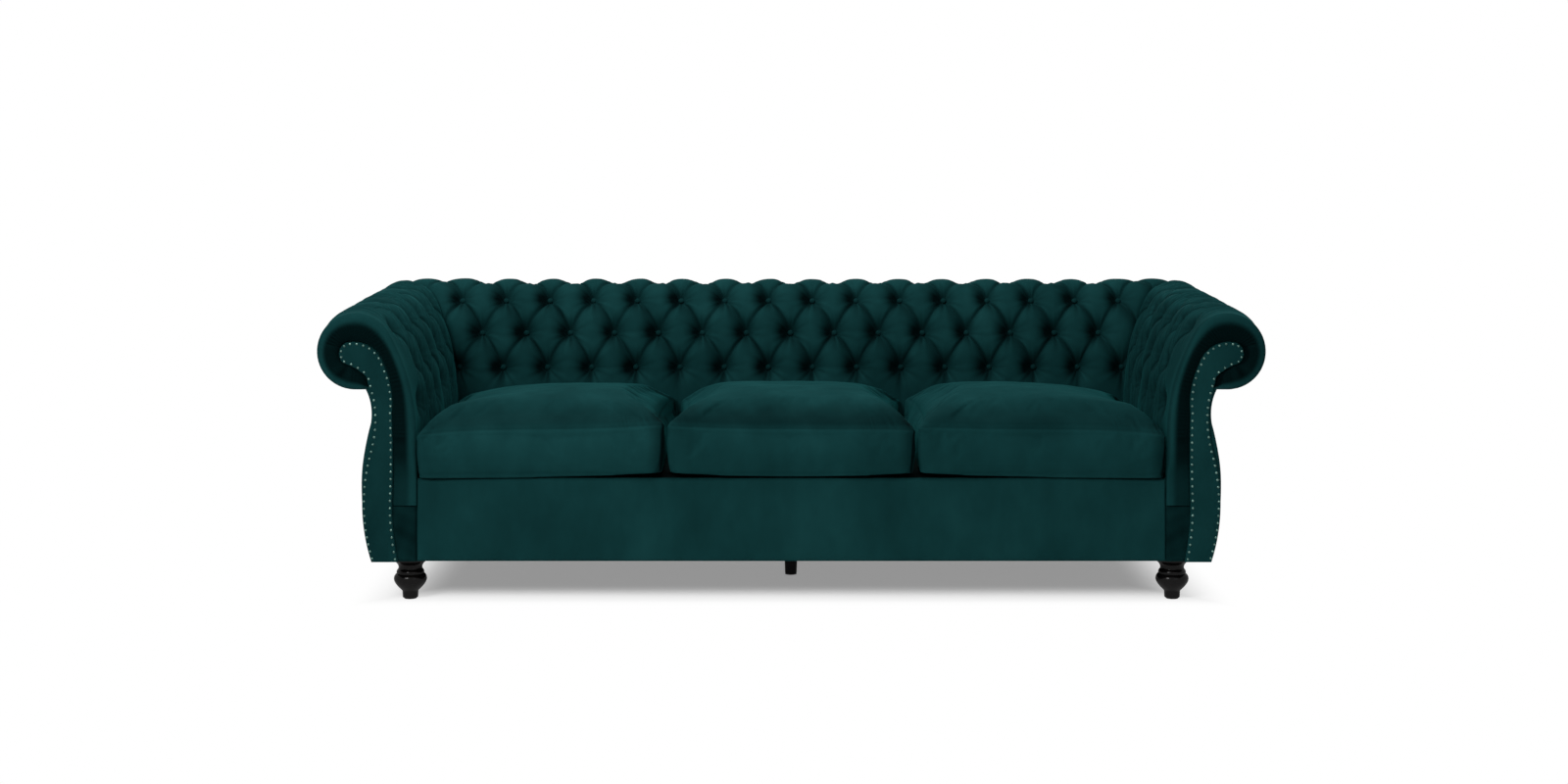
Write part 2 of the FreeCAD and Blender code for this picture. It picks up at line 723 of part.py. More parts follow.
freeform("seat_springs", Part.makeCompound([zigzag(x) for x in spring_centres()]))
for rail_name in ("front_rail", "back_rail"):
    rail = doc.getObject(rail_name + "_box")
    subparts.remove(rail)
    rail.Label = rail_name + "_blank"
clip_shape = freeform("spring_clips", spring_clips())
for rail_name in ("front_rail", "back_rail"):
    cut(rail_name, doc.getObject(rail_name + "_box"), [clip_shape])

board(
    "spring_cloth",
    ("-At.half_seat + Size.clearance", "At.board_front", "At.spring_top"),
    ("Size.seat_width - 2 * Size.clearance", "At.rear_board_back - At.board_front", "Size.spring_cloth_thickness"),
)
board(
    "deck_pad",
    ("-At.half_seat + Size.clearance", "At.board_front", "At.deck_bottom"),
    (
        "Size.seat_width - 2 * Size.clearance",
        "At.back_inside - Size.clearance - At.board_front",
        "Size.deck_pad_thickness",
    ),
)

# Loose seat cushions: crowned covers with a foam core


def side_point(share, height, inset=0):
    """A point of the cushion's side view: share of its depth, and of the crown over the seam."""
    front = at("front") - size("cushion_overhang")
    depth = at("back_inside") - size("clearance") - front
    level = size("deck_height") + size("cushion_seam") + height * size("cushion_crown")
    return Vector(0, front + inset + share * (depth - 2 * inset), level - inset)


def front_point(share, height, inset=0):
    """A point of the cushion's front view: share of its half width, and of the crown."""
    level = size("deck_height") + size("cushion_seam") + height * size("cushion_crown")
    return Vector(share * (at("cushion_width") / 2 - inset), 0, level - inset)


def lowered(spot, level):
    """The same point on another level."""
    return Vector(spot.x, spot.y, level)


def crossed(side_edges, front_edges, x_centre, half_width):
    """The solid that shows one outline from the side and the other from the front."""
    side_face = Part.Face(Part.Wire(side_edges))
    along = side_face.translated(Vector(x_centre - half_width, 0, 0)).extrude(Vector(2 * half_width, 0, 0))
    front_face = Part.Face(Part.Wire(front_edges))
    start = Vector(x_centre, at("front") - size("cushion_overhang") - TRIM, 0)
    across = front_face.translated(start).extrude(Vector(0, size("overall_depth"), 0))
    return along.common(across)


def cushion_outside(x_centre):
    """One crowned cushion: swelling front, rounded shoulders and a flat back."""
    low = size("deck_height") + size("clearance")
    swell = Vector(0, size("cushion_bulge"), 0)
    bottom_front = lowered(side_point(0, 0), low) + swell
    seam_front = side_point(0, 0) + swell * 0.6
    middle_front = lowered(side_point(0, 0), (low + seam_front.z) / 2)
    bottom_back = lowered(side_point(1, 0), low)
    side_edges = [
        arc_through(bottom_front, middle_front, seam_front),
        arc_through(seam_front, side_point(0.09, 0.58), side_point(0.28, 0.93)),
        arc_through(side_point(0.28, 0.93), side_point(0.52, 1), side_point(0.78, 0.90)),
        arc_through(side_point(0.78, 0.90), side_point(0.92, 0.60), side_point(1, 0)),
        Part.makeLine(side_point(1, 0), bottom_back),
        Part.makeLine(bottom_back, bottom_front),
    ]
    left, right = front_point(-1, 0.35), front_point(1, 0.35)
    low_left, low_right = lowered(left, low - TRIM), lowered(right, low - TRIM)
    front_edges = [
        Part.makeLine(left, low_left),
        Part.makeLine(low_left, low_right),
        Part.makeLine(low_right, right),
        arc_through(right, front_point(0.93, 0.66), front_point(0.78, 0.86)),
        arc_through(front_point(0.78, 0.86), front_point(0, 1), front_point(-0.78, 0.86)),
        arc_through(front_point(-0.78, 0.86), front_point(-0.93, 0.66), left),
    ]
    return crossed(side_edges, front_edges, x_centre, at("cushion_width") / 2)


def cushion_foam(x_centre):
    """The foam inside a cushion, cut flat with bevelled upper edges."""
    wrap = size("cushion_wrap")
    low = size("deck_height") + size("clearance") + wrap
    side_spots = [
        lowered(side_point(0, 0, wrap), low),
        side_point(0, 0, wrap),
        side_point(0.10, 0.55, wrap),
        side_point(0.30, 0.90, wrap),
        side_point(0.78, 0.85, wrap),
        side_point(1, 0, wrap),
        lowered(side_point(1, 0, wrap), low),
    ]
    half = [front_point(0.75, 0.86, wrap), front_point(1, 0.35, wrap)]
    half.append(lowered(half[-1], low - TRIM))
    front_spots = half + [Vector(-spot.x, 0, spot.z) for spot in reversed(half)]
    side_edges = Part.makePolygon(side_spots + side_spots[:1]).Edges
    front_edges = Part.makePolygon(front_spots + front_spots[:1]).Edges
    return crossed(side_edges, front_edges, x_centre, at("cushion_width") / 2)


def rounded_plan(x_centre):
    """A tall block with the cushion's plan and its rounded upright corners."""
    half_width = at("cushion_width") / 2
    front = at("front") - size("cushion_overhang")
    depth = at("back_inside") - size("clearance") - front
    height = size("cushion_seam") + size("cushion_crown") + 2 * TRIM
    plan = Part.makeBox(2 * half_width, depth, height, Vector(x_centre - half_width, front, size("deck_height")))
    uprights = [edge for edge in plan.Edges if abs(edge.tangentAt(0).z) > 0.9]
    return plan.makeFillet(size("cushion_corner"), uprights)


cushion_step = at("cushion_width") + size("cushion_gap")
for cushion_name, number in (("left", -1), ("middle", 0), ("right", 1)):
    cushion_x = number * cushion_step
    core_shape = cushion_foam(cushion_x)
    cover_shape = cushion_outside(cushion_x).common(rounded_plan(cushion_x)).cut(core_shape)
    freeform("seat_cushion_" + cushion_name, cover_shape)
    freeform("cushion_core_" + cushion_name, core_shape)

# Turned feet


def origin_plane(body, role):
    """One of a body's own origin planes."""
    return next(plane for plane in body.Origin.OriginFeatures if plane.Role == role)


def number_of(name):
    """The value of a size or a place, or zero."""
    if name == "zero":
        return 0.0
    return size(name) if name in SIZES else at(name)


def add_profile(body, name, outline):
    """A closed sketch of straight edges in the body's XZ plane, each corner at named distances."""
    sketch = body.newObject("Sketcher::SketchObject", name)
    sketch.AttachmentSupport = (origin_plane(body, "XZ_Plane"), [""])
    sketch.MapMode = "FlatFace"
    corners = [Vector(number_of(across), number_of(up), 0) for across, up in outline]
    for start, end in zip(corners, corners[1:] + corners[:1]):
        sketch.addGeometry(Part.LineSegment(start, end), False)
    for index, names in enumerate(outline):
        following = (index + 1) % len(outline)
        sketch.addConstraint(Sketcher.Constraint("Coincident", index, 2, following, 1))
        for kind, distance in zip(("DistanceX", "DistanceY"), names):
            held = sketch.addConstraint(Sketcher.Constraint(kind, -1, 1, index, 1, number_of(distance)))
            if distance != "zero":
                source = "Size." if distance in SIZES else "At."
                sketch.setExpression("Constraints[%d]" % held, source + distance)
    return sketch


def turned(name, outline):
    """A piece turned on a lathe about the upright axis."""
    body = doc.addObject("PartDesign::Body", name)
    sketch = add_profile(body, name + "_profile", outline)
    turning = body.newObject("PartDesign::Revolution", name + "_turning")
    turning.Profile = sketch
    turning.ReferenceAxis = (sketch, ["V_Axis"])
    turning.Angle = 360.0
    doc.recompute()
    return body


turned_foot = turned(
    "turned_foot",
    [
        ("zero", "glide_height"),
        ("toe_radius", "glide_height"),
        ("toe_radius", "ankle_height"),
        ("ball_low_radius", "ball_low_height"),
        ("ball_radius", "ball_widest_from"),
        ("ball_radius", "ball_widest_to"),
        ("ball_top_radius", "ring_bottom"),
        ("ring_radius", "ring_middle"),
        ("neck_radius", "ring_top"),
        ("neck_radius", "collar_bottom"),
        ("collar_radius", "collar_bottom"),
        ("collar_radius", "foot_top"),
        ("zero", "foot_top"),
    ],
)

CORNERS = {
    "front_feet": [(-at("foot_x"), at("front_foot_y")), (at("foot_x"), at("front_foot_y"))],
    "rear_feet": [(-at("foot_x"), at("rear_foot_y")), (at("foot_x"), at("rear_foot_y"))],
}
ALL_CORNERS = CORNERS["front_feet"] + CORNERS["rear_feet"]
CENTRE_SPOT = (0, at("centre_foot_y"))


def copies(shape, spots):
    """The same shape at several places on the plan."""
    return [shape.translated(Vector(x, y, 0)) for x, y in spots]


def upright_rod(radius, bottom, top):
    """A round rod about the upright axis."""
    return Part.makeCylinder(radius, top - bottom, Vector(0, 0, bottom))


bolt_top = size("base_height") + size("bolt_above_base")
bolt = upright_rod(size("bolt_radius"), at("bolt_bottom"), bolt_top)
foot_shape = turned_foot.Shape.cut(bolt)
for node, spots in CORNERS.items():
    freeform(node, Part.makeCompound(copies(foot_shape, spots)))
freeform("foot_bolts", Part.makeCompound(copies(bolt, ALL_CORNERS + [CENTRE_SPOT])))

glide = upright_rod(size("glide_radius"), 0, size("glide_height"))
freeform("foot_glides", Part.makeCompound(copies(glide, ALL_CORNERS + [CENTRE_SPOT])))

centre_foot_blank = cylinder(
    "centre_foot_blank",
    "Size.centre_foot_radius",
    "At.foot_top - Size.glide_height",
    "0",
    "At.centre_foot_y",
    "Size.glide_height",
)
centre_foot_bore = cylinder(
    "centre_foot_bore", "Size.bolt_radius", "Size.bolt_in_foot", "0", "At.centre_foot_y", "At.bolt_bottom"
)
cut("centre_foot", centre_foot_blank, [centre_foot_bore])

# Corner blocks with threaded plates, the centre rail and the dust cover


def square_pad(side, bottom, thickness):
    """A square block on the upright axis, bored for the bolt."""
    pad = Part.makeBox(side, side, thickness, Vector(-side / 2, -side / 2, bottom))
    return pad.cut(upright_rod(size("bolt_radius"), bottom, bottom + thickness))


block = square_pad(size("block_size"), size("base_height"), size("block_height"))
plate = square_pad(size("plate_size"), at("block_top"), size("plate_thickness"))
freeform("corner_blocks", Part.makeCompound(copies(block, ALL_CORNERS)))
freeform("foot_plates", Part.makeCompound(copies(plate, ALL_CORNERS)))

centre_rail_blank = board(
    "centre_rail_blank",
    ("-Size.centre_rail_width / 2", "At.rail_back", "Size.base_height"),
    ("Size.centre_rail_width", "At.back_rail_front - At.rail_back", "At.rail_height - Size.centre_rail_drop"),
    keep=False,
)
centre_bore = cylinder(
    "centre_bore", "Size.bolt_radius", "Size.bolt_above_base", "0", "At.centre_foot_y", "Size.base_height"
)
cut("centre_rail", centre_rail_blank, [centre_bore])

dust_cover_blank = board(
    "dust_cover_blank",
    ("-At.web_x", "At.board_front", "At.foot_top"),
    ("2 * At.web_x", "At.web_y - At.board_front", "Size.dust_cover_thickness"),
    keep=False,
)
HOLE_PLACES = (
    ("-At.foot_x", "At.front_foot_y"),
    ("At.foot_x", "At.front_foot_y"),
    ("-At.foot_x", "At.rear_foot_y"),
    ("At.foot_x", "At.rear_foot_y"),
    ("0", "At.centre_foot_y"),
)
cover_slits = [
    board(
        "cover_slit_%d" % number,
        (x_place + " - Size.bolt_radius", y_place + " - Size.bolt_radius", "At.foot_top"),
        ("2 * Size.bolt_radius", "2 * Size.bolt_radius", "Size.dust_cover_thickness"),
        keep=False,
    )
    for number, (x_place, y_place) in enumerate(HOLE_PLACES, start=1)
]
cut("dust_cover", dust_cover_blank, cover_slits)

# Check every object and every piece, then write the pieces

doc.recompute()
for item in doc.Objects:
    if "Invalid" in item.State or "Error" in item.State:
        raise RuntimeError("failed object: " + item.Label)
labels = [piece.Label for piece in subparts]
if len(set(labels)) != len(labels):
    raise RuntimeError("two pieces share a name")
os.makedirs("parts", exist_ok=True)
for piece in subparts:
    if piece.Shape.isNull() or not piece.Shape.isValid() or not piece.Shape.Solids:
        raise RuntimeError("bad shape: " + piece.Label)
for piece in subparts:
    piece.Shape.exportStep(os.path.join("parts", piece.Label + ".step"))
    print("%-26s %2d solid(s) %12.0f mm3" % (piece.Label, len(piece.Shape.Solids), piece.Shape.Volume))
print(len(subparts), "pieces")
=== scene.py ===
import math
from contextlib import contextmanager

import bmesh
import bpy
import numpy as np
from mathutils import Matrix, Vector


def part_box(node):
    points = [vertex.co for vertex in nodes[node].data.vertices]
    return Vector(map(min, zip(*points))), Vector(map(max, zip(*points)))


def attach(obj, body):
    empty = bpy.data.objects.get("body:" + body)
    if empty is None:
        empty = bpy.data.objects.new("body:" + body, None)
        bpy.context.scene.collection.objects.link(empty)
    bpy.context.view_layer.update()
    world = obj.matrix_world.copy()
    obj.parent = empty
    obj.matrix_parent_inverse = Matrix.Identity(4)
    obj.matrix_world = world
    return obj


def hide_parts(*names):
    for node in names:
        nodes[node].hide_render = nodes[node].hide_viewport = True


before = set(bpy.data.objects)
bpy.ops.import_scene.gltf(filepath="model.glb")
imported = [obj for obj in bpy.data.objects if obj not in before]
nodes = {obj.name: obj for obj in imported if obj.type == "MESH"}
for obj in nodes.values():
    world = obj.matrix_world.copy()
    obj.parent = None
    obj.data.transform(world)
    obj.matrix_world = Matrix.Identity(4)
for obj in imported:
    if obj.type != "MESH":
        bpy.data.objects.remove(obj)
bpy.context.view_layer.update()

# Three-seat sofa in deep teal velvet: tufted arms and back, nail-trimmed facings, turned feet.
# Metres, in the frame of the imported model: +Z up, the front faces -Y.

BODY = "sofa_frame"

# The padding's section: the middle lines come from the model, the radii are its named sizes

PAD_LOW, PAD_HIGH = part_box("arm_pad_right")
BACK_LOW, BACK_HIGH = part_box("back_pad")
FRONT = PAD_LOW.y
ROLL = 0.087  # radius of the rolls
ROLL_RISE = 0.025  # how much higher the back's roll is than the arm's at the front
INSIDE = 0.138  # from the roll's middle to the inside face
WEB = 0.046  # from the roll's middle to the outside panel
LEAN = math.radians(30)  # how steep the roll is where it turns into the inside face
ROLL_X = PAD_HIGH.x - ROLL
ROLL_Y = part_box("outside_back_panel")[0].y + WEB
BACK_ROLL_Z = BACK_HIGH.z - ROLL
ROLL_Z = BACK_ROLL_Z - ROLL_RISE
TURN = (INSIDE - ROLL * math.cos(LEAN)) / (1 - math.cos(LEAN))
STRAIGHT_TOP = (ROLL - TURN) * math.sin(LEAN)
LINING = 0.009  # thickness of the cover with its wadding
SEAM_DEPTH = 0.012  # how far the mitred seams lie inside the padding
SEAM_WIDTH = 0.012
PAST_CORNER = 0.075  # room in the grids for the longest run round the mitred corner

# Diamond tufting

PITCH = 0.113  # between buttons along a row
ROW_PITCH = 0.091  # between rows
FIRST_ROW = -0.005  # the top row, from the roll's top
LAST_ROW = 3
ARM_START = 0.1225  # the arm's first button, from the front
CELLS = 20  # grid cells between rows
SWELL = 0.0105  # how far the cover stands out between buttons
DIMPLE = 0.0175  # how far a button draws it in
VALLEY = 0.0090  # depth of the soft valleys from button to button
CREASE = 0.0034  # depth of the creases along them
FOLD = 0.0016  # depth of the folds beside the creases
GATHER = 0.0058  # height of the rays round a button

# The soft ring round the facing

RING_CELLS = 30
RING_ANGLES = np.radians(np.concatenate([[180, 180], np.linspace(180, 0, RING_CELLS)]))
RING_HIDDEN = (0.014, 0.006)  # how far its first two columns run on behind the facing's edge
RING_HEIGHT = 0.018  # how far it stands out in front


# Helpers for modelling by hand


def deselect():
    """Leave nothing selected, in object mode."""
    if bpy.context.object and bpy.context.object.mode != "OBJECT":
        bpy.ops.object.mode_set(mode="OBJECT")
    bpy.ops.object.select_all(action="DESELECT")


def pick(piece):
    """Select one object alone and make it active."""
    deselect()
    piece.select_set(True)
    bpy.context.view_layer.objects.active = piece


@contextmanager
def editing(piece, selection="SELECT"):
    """Edit mode on one piece, with everything selected, nothing, or what was before."""
    pick(piece)
    bpy.ops.object.mode_set(mode="EDIT")
    if selection:
        bpy.ops.mesh.select_all(action=selection)
    yield
    bpy.ops.object.mode_set(mode="OBJECT")


def take(name):
    """Name the primitive that was just added, with its place in its mesh."""
    piece = bpy.context.object
    piece.name = name
    piece.data.name = name
    bpy.ops.object.transform_apply(location=True, rotation=True, scale=True)
    return piece


def set_all(target, **settings):
    """Set several properties of one thing."""
    for key, value in settings.items():
        setattr(target, key, value)


def finish_modifier(piece, kind, **settings):
    """Add one modifier and apply it."""
    pick(piece)
    modifier = piece.modifiers.new(kind, kind)
    set_all(modifier, **settings)
    bpy.ops.object.modifier_apply(modifier=modifier.name)
    return piece


def points_of(piece):
    """The vertices' places as an array."""
    spots = np.zeros(len(piece.data.vertices) * 3)
    piece.data.vertices.foreach_get("co", spots)
    return spots.reshape(-1, 3)


def set_points(piece, spots):
    """Move the vertices to new places."""
    piece.data.vertices.foreach_set("co", np.ascontiguousarray(spots, dtype=np.float32).ravel())
    piece.data.update()


def normals_of(piece):
    """The vertices' normals as an array."""
    ways = np.zeros(len(piece.data.vertices) * 3)
    piece.data.vertices.foreach_get("normal", ways)
    return ways.reshape(-1, 3)


def face_outwards(piece):
    """Merge doubles and turn every face outwards."""
    with editing(piece):
        bpy.ops.mesh.remove_doubles(threshold=1e-5)
        bpy.ops.mesh.normals_make_consistent(inside=False)
    return piece


def smooth(piece, degrees=None):
    """Smooth shading, with edges sharper than the angle kept."""
    pick(piece)
    if degrees is None:
        bpy.ops.object.shade_smooth()
    else:
        bpy.ops.object.shade_smooth_by_angle(angle=math.radians(degrees))
    return piece


def dress(piece, material, body=BODY):
    """Give a finished piece its material and its body."""
    piece.data.materials.clear()
    piece.data.materials.append(material)
    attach(piece, body)
    return piece


def mirrored(piece, name):
    """The same piece on the other side of the sofa, with its faces turned outwards."""
    pick(piece)
    bpy.ops.object.duplicate()
    twin = bpy.context.object
    twin.name = name
    twin.data.name = name
    twin.data.transform(Matrix.Scale(-1, 4, Vector((1, 0, 0))))
    twin.data.flip_normals()
    return twin


def joined(pieces, name):
    """Several objects made one."""
    deselect()
    for piece in pieces:
        piece.select_set(True)
    bpy.context.view_layer.objects.active = pieces[0]
    bpy.ops.object.join()
    whole = bpy.context.object
    whole.name = name
    whole.data.name = name
    return whole


def ease(value, low, high):
    """Smooth step from 0 at low to 1 at high."""
    share = np.clip((value - low) / (high - low), 0, 1)
    return share * share * (3 - 2 * share)


def ripple(a, b, seed):
    """A smooth irregular wave between -1 and 1 over two coordinates in metres."""
    first = np.sin(a * 23.1 + seed) * np.sin(b * 19.7 + 2.3 * seed)
    second = np.sin(a * 41.3 + 17.9 * b + 1.7 * seed)
    third = np.sin(b * 57.1 - 29.0 * a + 0.6 * seed)
    return (first + 0.6 * second + 0.4 * third) / 2


def set_painted_shade(piece, painted_shade):
    """Record the painted shade at each vertex, from 0 to 1, which darkens the velvet's colour."""
    layer = piece.data.attributes.new("painted_pile_shade", "FLOAT", "POINT")
    pile = np.broadcast_to(np.clip(painted_shade, 0, 1), len(layer.data))
    layer.data.foreach_set("value", pile.astype(np.float32))


def add_painted_shade(piece, added):
    """Add to the painted shade that a piece already has."""
    layer = piece.data.attributes["painted_pile_shade"]
    pile = np.empty(len(layer.data), dtype=np.float32)
    layer.data.foreach_get("value", pile)
    layer.data.foreach_set("value", np.clip(pile + added, 0, 1).astype(np.float32))


# Materials


def new_material(name):
    """A node material with its shader and a place to read coordinates from."""
    material = bpy.data.materials.new(name)
    material.use_nodes = True
    tree = material.node_tree
    shader = tree.nodes["Principled BSDF"]
    coordinates = tree.nodes.new("ShaderNodeTexCoord").outputs["Object"]
    return material, tree, shader, coordinates


def noise(tree, coordinates, scale, detail=3.0, roughness=0.55, stretch=None):
    """Cloudy noise over the object, stretched along an axis where asked."""
    source = coordinates
    if stretch is not None:
        mapping = tree.nodes.new("ShaderNodeMapping")
        mapping.inputs["Scale"].default_value = stretch
        tree.links.new(coordinates, mapping.inputs["Vector"])
        source = mapping.outputs["Vector"]
    texture = tree.nodes.new("ShaderNodeTexNoise")
    texture.inputs["Scale"].default_value = scale
    texture.inputs["Detail"].default_value = detail
    texture.inputs["Roughness"].default_value = roughness
    tree.links.new(source, texture.inputs["Vector"])
    return texture.outputs["Fac"]


def ramp(tree, factor, stops):
    """Colours along a factor."""
    node = tree.nodes.new("ShaderNodeValToRGB")
    node.color_ramp.elements[0].position = stops[0][0]
    node.color_ramp.elements[0].color = (*stops[0][1], 1)
    node.color_ramp.elements[1].position = stops[-1][0]
    node.color_ramp.elements[1].color = (*stops[-1][1], 1)
    for position, colour in stops[1:-1]:
        element = node.color_ramp.elements.new(position)
        element.color = (*colour, 1)
    tree.links.new(factor, node.inputs["Fac"])
    return node.outputs["Color"]


def span(tree, factor, low, high):
    """A factor brought from 0..1 to another range."""
    node = tree.nodes.new("ShaderNodeMapRange")
    node.inputs["To Min"].default_value = low
    node.inputs["To Max"].default_value = high
    tree.links.new(factor, node.inputs["Value"])
    return node.outputs["Result"]


def bumped(tree, shader, layers):
    """Stack bump layers, each a height with its strength and depth."""
    normal = None
    for height, strength, depth in layers:
        node = tree.nodes.new("ShaderNodeBump")
        node.inputs["Strength"].default_value = strength
        node.inputs["Distance"].default_value = depth
        tree.links.new(height, node.inputs["Height"])
        if normal is not None:
            tree.links.new(normal, node.inputs["Normal"])
        normal = node.outputs["Normal"]
    tree.links.new(normal, shader.inputs["Normal"])


def linear(red, green, blue):
    """A colour given as 0-255 screen values."""
    return tuple(((value / 255 + 0.055) / 1.055) ** 2.4 if value > 10 else value / 255 / 12.92
                 for value in (red, green, blue))


def velvet_cloth():
    """Short-pile velvet: brushed patches, fine pile, soft sheen, near black where the piece has
    painted shade.
    """
    material, tree, shader, coordinates = new_material("teal_velvet")
    nap = noise(tree, coordinates, 7.0, 4.0, 0.6, (1.0, 1.0, 0.55))
    pile = noise(tree, coordinates, 900.0, 2.0)
    brushed = noise(tree, coordinates, 60.0, 3.0, 0.6, (1.0, 1.0, 0.3))
    colour = ramp(tree, nap, (
        (0.25, linear(10, 42, 43)),
        (0.5, linear(14, 50, 51)),
        (0.8, linear(20, 60, 61)),
    ))
    painted_shade = tree.nodes.new("ShaderNodeAttribute")
    painted_shade.attribute_name = "painted_pile_shade"
    # a colour mix has its factor in input 0, its colours in 6 and 7, and its result in output 2
    mix = tree.nodes.new("ShaderNodeMix")
    mix.data_type = "RGBA"
    tree.links.new(painted_shade.outputs["Fac"], mix.inputs[0])
    tree.links.new(colour, mix.inputs[6])
    # painted shade: the near-black colour that the painted shade mixes in
    mix.inputs[7].default_value = (*linear(0, 7, 8), 1)
    tree.links.new(mix.outputs[2], shader.inputs["Base Color"])
    tree.links.new(span(tree, brushed, 0.75, 0.95), shader.inputs["Roughness"])
    shader.inputs["Specular IOR Level"].default_value = 0.015
    shader.inputs["Sheen Weight"].default_value = 0.13
    shader.inputs["Sheen Roughness"].default_value = 0.35
    shader.inputs["Sheen Tint"].default_value = (*linear(40, 150, 150), 1)
    bumped(tree, shader, ((brushed, 0.25, 0.0008), (pile, 0.35, 0.0003)))
    return material


def surface(name, dark, light, noises, roughness, bumps,
            metallic=0.0, specular=None, coat=None, worn=-1):
    """A material between two shades, coloured by the first noise.

    Each noise is given by its scale, detail, roughness and stretch, each bump by its noise's
    number, its strength and its depth. The noise with the number worn varies the roughness.
    """
    material, tree, shader, coordinates = new_material(name)
    factors = [noise(tree, coordinates, *settings) for settings in noises]
    colour = ramp(tree, factors[0], ((0.3, linear(*dark)), (0.7, linear(*light))))
    tree.links.new(colour, shader.inputs["Base Color"])
    tree.links.new(span(tree, factors[worn], *roughness), shader.inputs["Roughness"])
    shader.inputs["Metallic"].default_value = metallic
    if specular is not None:
        shader.inputs["Specular IOR Level"].default_value = specular
    if coat:
        shader.inputs["Coat Weight"].default_value = coat[0]
        shader.inputs["Coat Roughness"].default_value = coat[1]
    bumped(tree, shader, [(factors[number], strength, depth) for number, strength, depth in bumps])
    return material


def timber(name, dark, light, stretch):
    """Plain planed softwood or plywood inside the frame."""
    noises = ((30.0, 6.0, 0.65, stretch), (9.0, 2.0))
    return surface(name, dark, light, noises, (0.55, 0.75), ((0, 0.3, 0.0008),))


def steel(name, dark, light, roughness):
    """Plain steel fittings."""
    between = (roughness, roughness + 0.15)
    return surface(name, dark, light, ((80.0, 4.0),), between, ((0, 0.1, 0.0003),), metallic=1.0)


def moulded(name, dark, light, roughness):
    """Moulded plastic or foam."""
    noises = ((15.0, 2.0), (400.0, 3.0))
    return surface(name, dark, light, noises, (roughness, roughness + 0.12), ((1, 0.3, 0.0005),))


def woven(name, dark, light, threads):
    """Plain woven cloth: crossing threads with worn variation."""
    warp, weft = ((threads, 1.0, 0.5, stretch) for stretch in ((1.0, 0.05, 1.0), (0.05, 1.0, 1.0)))
    noises = ((12.0, 3.0), warp, weft)
    bumps = ((1, 0.4, 0.0004), (2, 0.4, 0.0004))
    return surface(name, dark, light, noises, (0.8, 0.95), bumps, specular=0.05, worn=0)


VELVET = velvet_cloth()
FOOT_WOOD = surface(
    "black_lacquered_wood", (6, 5, 5), (14, 12, 12),
    ((60.0, 5.0, 0.6, (6.0, 6.0, 0.8)), (14.0, 2.0)),
    (0.22, 0.34), ((0, 0.15, 0.0004),), specular=0.0, coat=(0.24, 0.17),
)
NAIL_METAL = surface(
    "nail_head_metal", (58, 84, 79), (104, 134, 126), ((130.0, 3.0),),
    (0.28, 0.42), ((0, 0.1, 0.0002),), metallic=1.0,
)
PLYWOOD = timber("birch_plywood", (176, 142, 100), (214, 184, 140), (1.0, 1.0, 6.0))
FRAME_WOOD = timber("frame_softwood", (184, 146, 98), (222, 190, 142), (0.6, 8.0, 8.0))
SPRING_STEEL = steel("spring_steel", (70, 74, 78), (120, 124, 128), 0.35)
ZINC = steel("zinc_plated_steel", (150, 152, 150), (205, 206, 200), 0.3)
DECK_CLOTH = woven("dark_deck_cloth", (3, 14, 14), (6, 22, 22), 700.0)
FOAM = moulded("cushion_foam", (216, 206, 180), (232, 224, 202), 0.8)
GLIDE = moulded("glide_plastic", (18, 18, 18), (30, 30, 30), 0.4)


# Tufted padding


def welded(node):
    """A node's mesh with its doubles merged."""
    mesh = bmesh.new()
    mesh.from_mesh(nodes[node].data)
    bmesh.ops.remove_doubles(mesh, verts=mesh.verts, dist=1e-5)
    return mesh


def section_at(length):
    """Across, up and outward direction of the padding's surface, by length from the roll's top.

    Lengths grow over the inside and go down to the seat; negative lengths go over the outside of
    the roll and back under it to the web.
    """
    roll_end = ROLL * (math.pi / 2 - LEAN)
    turn_end = roll_end + TURN * LEAN
    angle = math.pi / 2 + length / ROLL
    lean = LEAN - (length - roll_end) / TURN
    zero, one = np.zeros_like(length), np.ones_like(length)
    under = length + ROLL * math.pi, -ROLL * one, zero, -one
    on_roll = ROLL * np.cos(angle), ROLL * np.sin(angle), np.cos(angle), np.sin(angle)
    turned = TURN * np.cos(lean), TURN * np.sin(lean)
    on_turn = TURN - INSIDE - turned[0], STRAIGHT_TOP + turned[1], -np.cos(lean), np.sin(lean)
    straight = -INSIDE * one, STRAIGHT_TOP - (length - turn_end), -one, zero
    where = [length < -ROLL * math.pi, length <= roll_end, length <= turn_end]
    stretches = zip(under, on_roll, on_turn, straight)
    return tuple(np.select(where, values[:3], values[3]) for values in stretches)


def round_buttons(p, q, alpha, beta, real_button):
    """What the nearest buttons do to the cover: dips and rays of gathers, with painted shade on the
    right flanks.
    """
    dip, gathers, flank = np.zeros_like(p), np.zeros_like(p), np.zeros_like(p)
    for step_a, step_b in ((i, j) for i in (-1, 0, 1) for j in (-1, 0, 1)):
        whole_a, whole_b = np.round(alpha) + step_a, np.round(beta) + step_b
        button_p, button_q = (whole_a + whole_b) / 2, whole_a - whole_b
        real = real_button(button_p, button_q)
        beside, below = (p - button_p) * PITCH, (q - button_q) * ROW_PITCH
        away = np.hypot(beside, below)
        seed = button_p * 2.7 + button_q * 1.3
        depth = 1 + 0.12 * np.sin(3.1 * seed)
        dip += real * depth * np.exp(-((np.maximum(away - 0.005, 0) / 0.022) ** 1.5))
        # painted shade on the pillow's right flank, just left of each button
        from_flank = np.hypot(beside + 0.020, below - 0.002)
        flank += real * depth * np.exp(-((from_flank / 0.021) ** 2))
        turn = np.arctan2(below, beside)
        rays = 0.6 * np.sin(11 * turn + seed) + 0.4 * np.sin(17 * turn + 1.9 * seed)
        fan = 0.45 + 0.55 * np.clip(np.sin(turn), 0, 1)
        gathers += real * fan * rays * np.exp(-away / 0.026) * (1 - np.exp(-((away / 0.012) ** 2)))
    return dip, gathers, flank


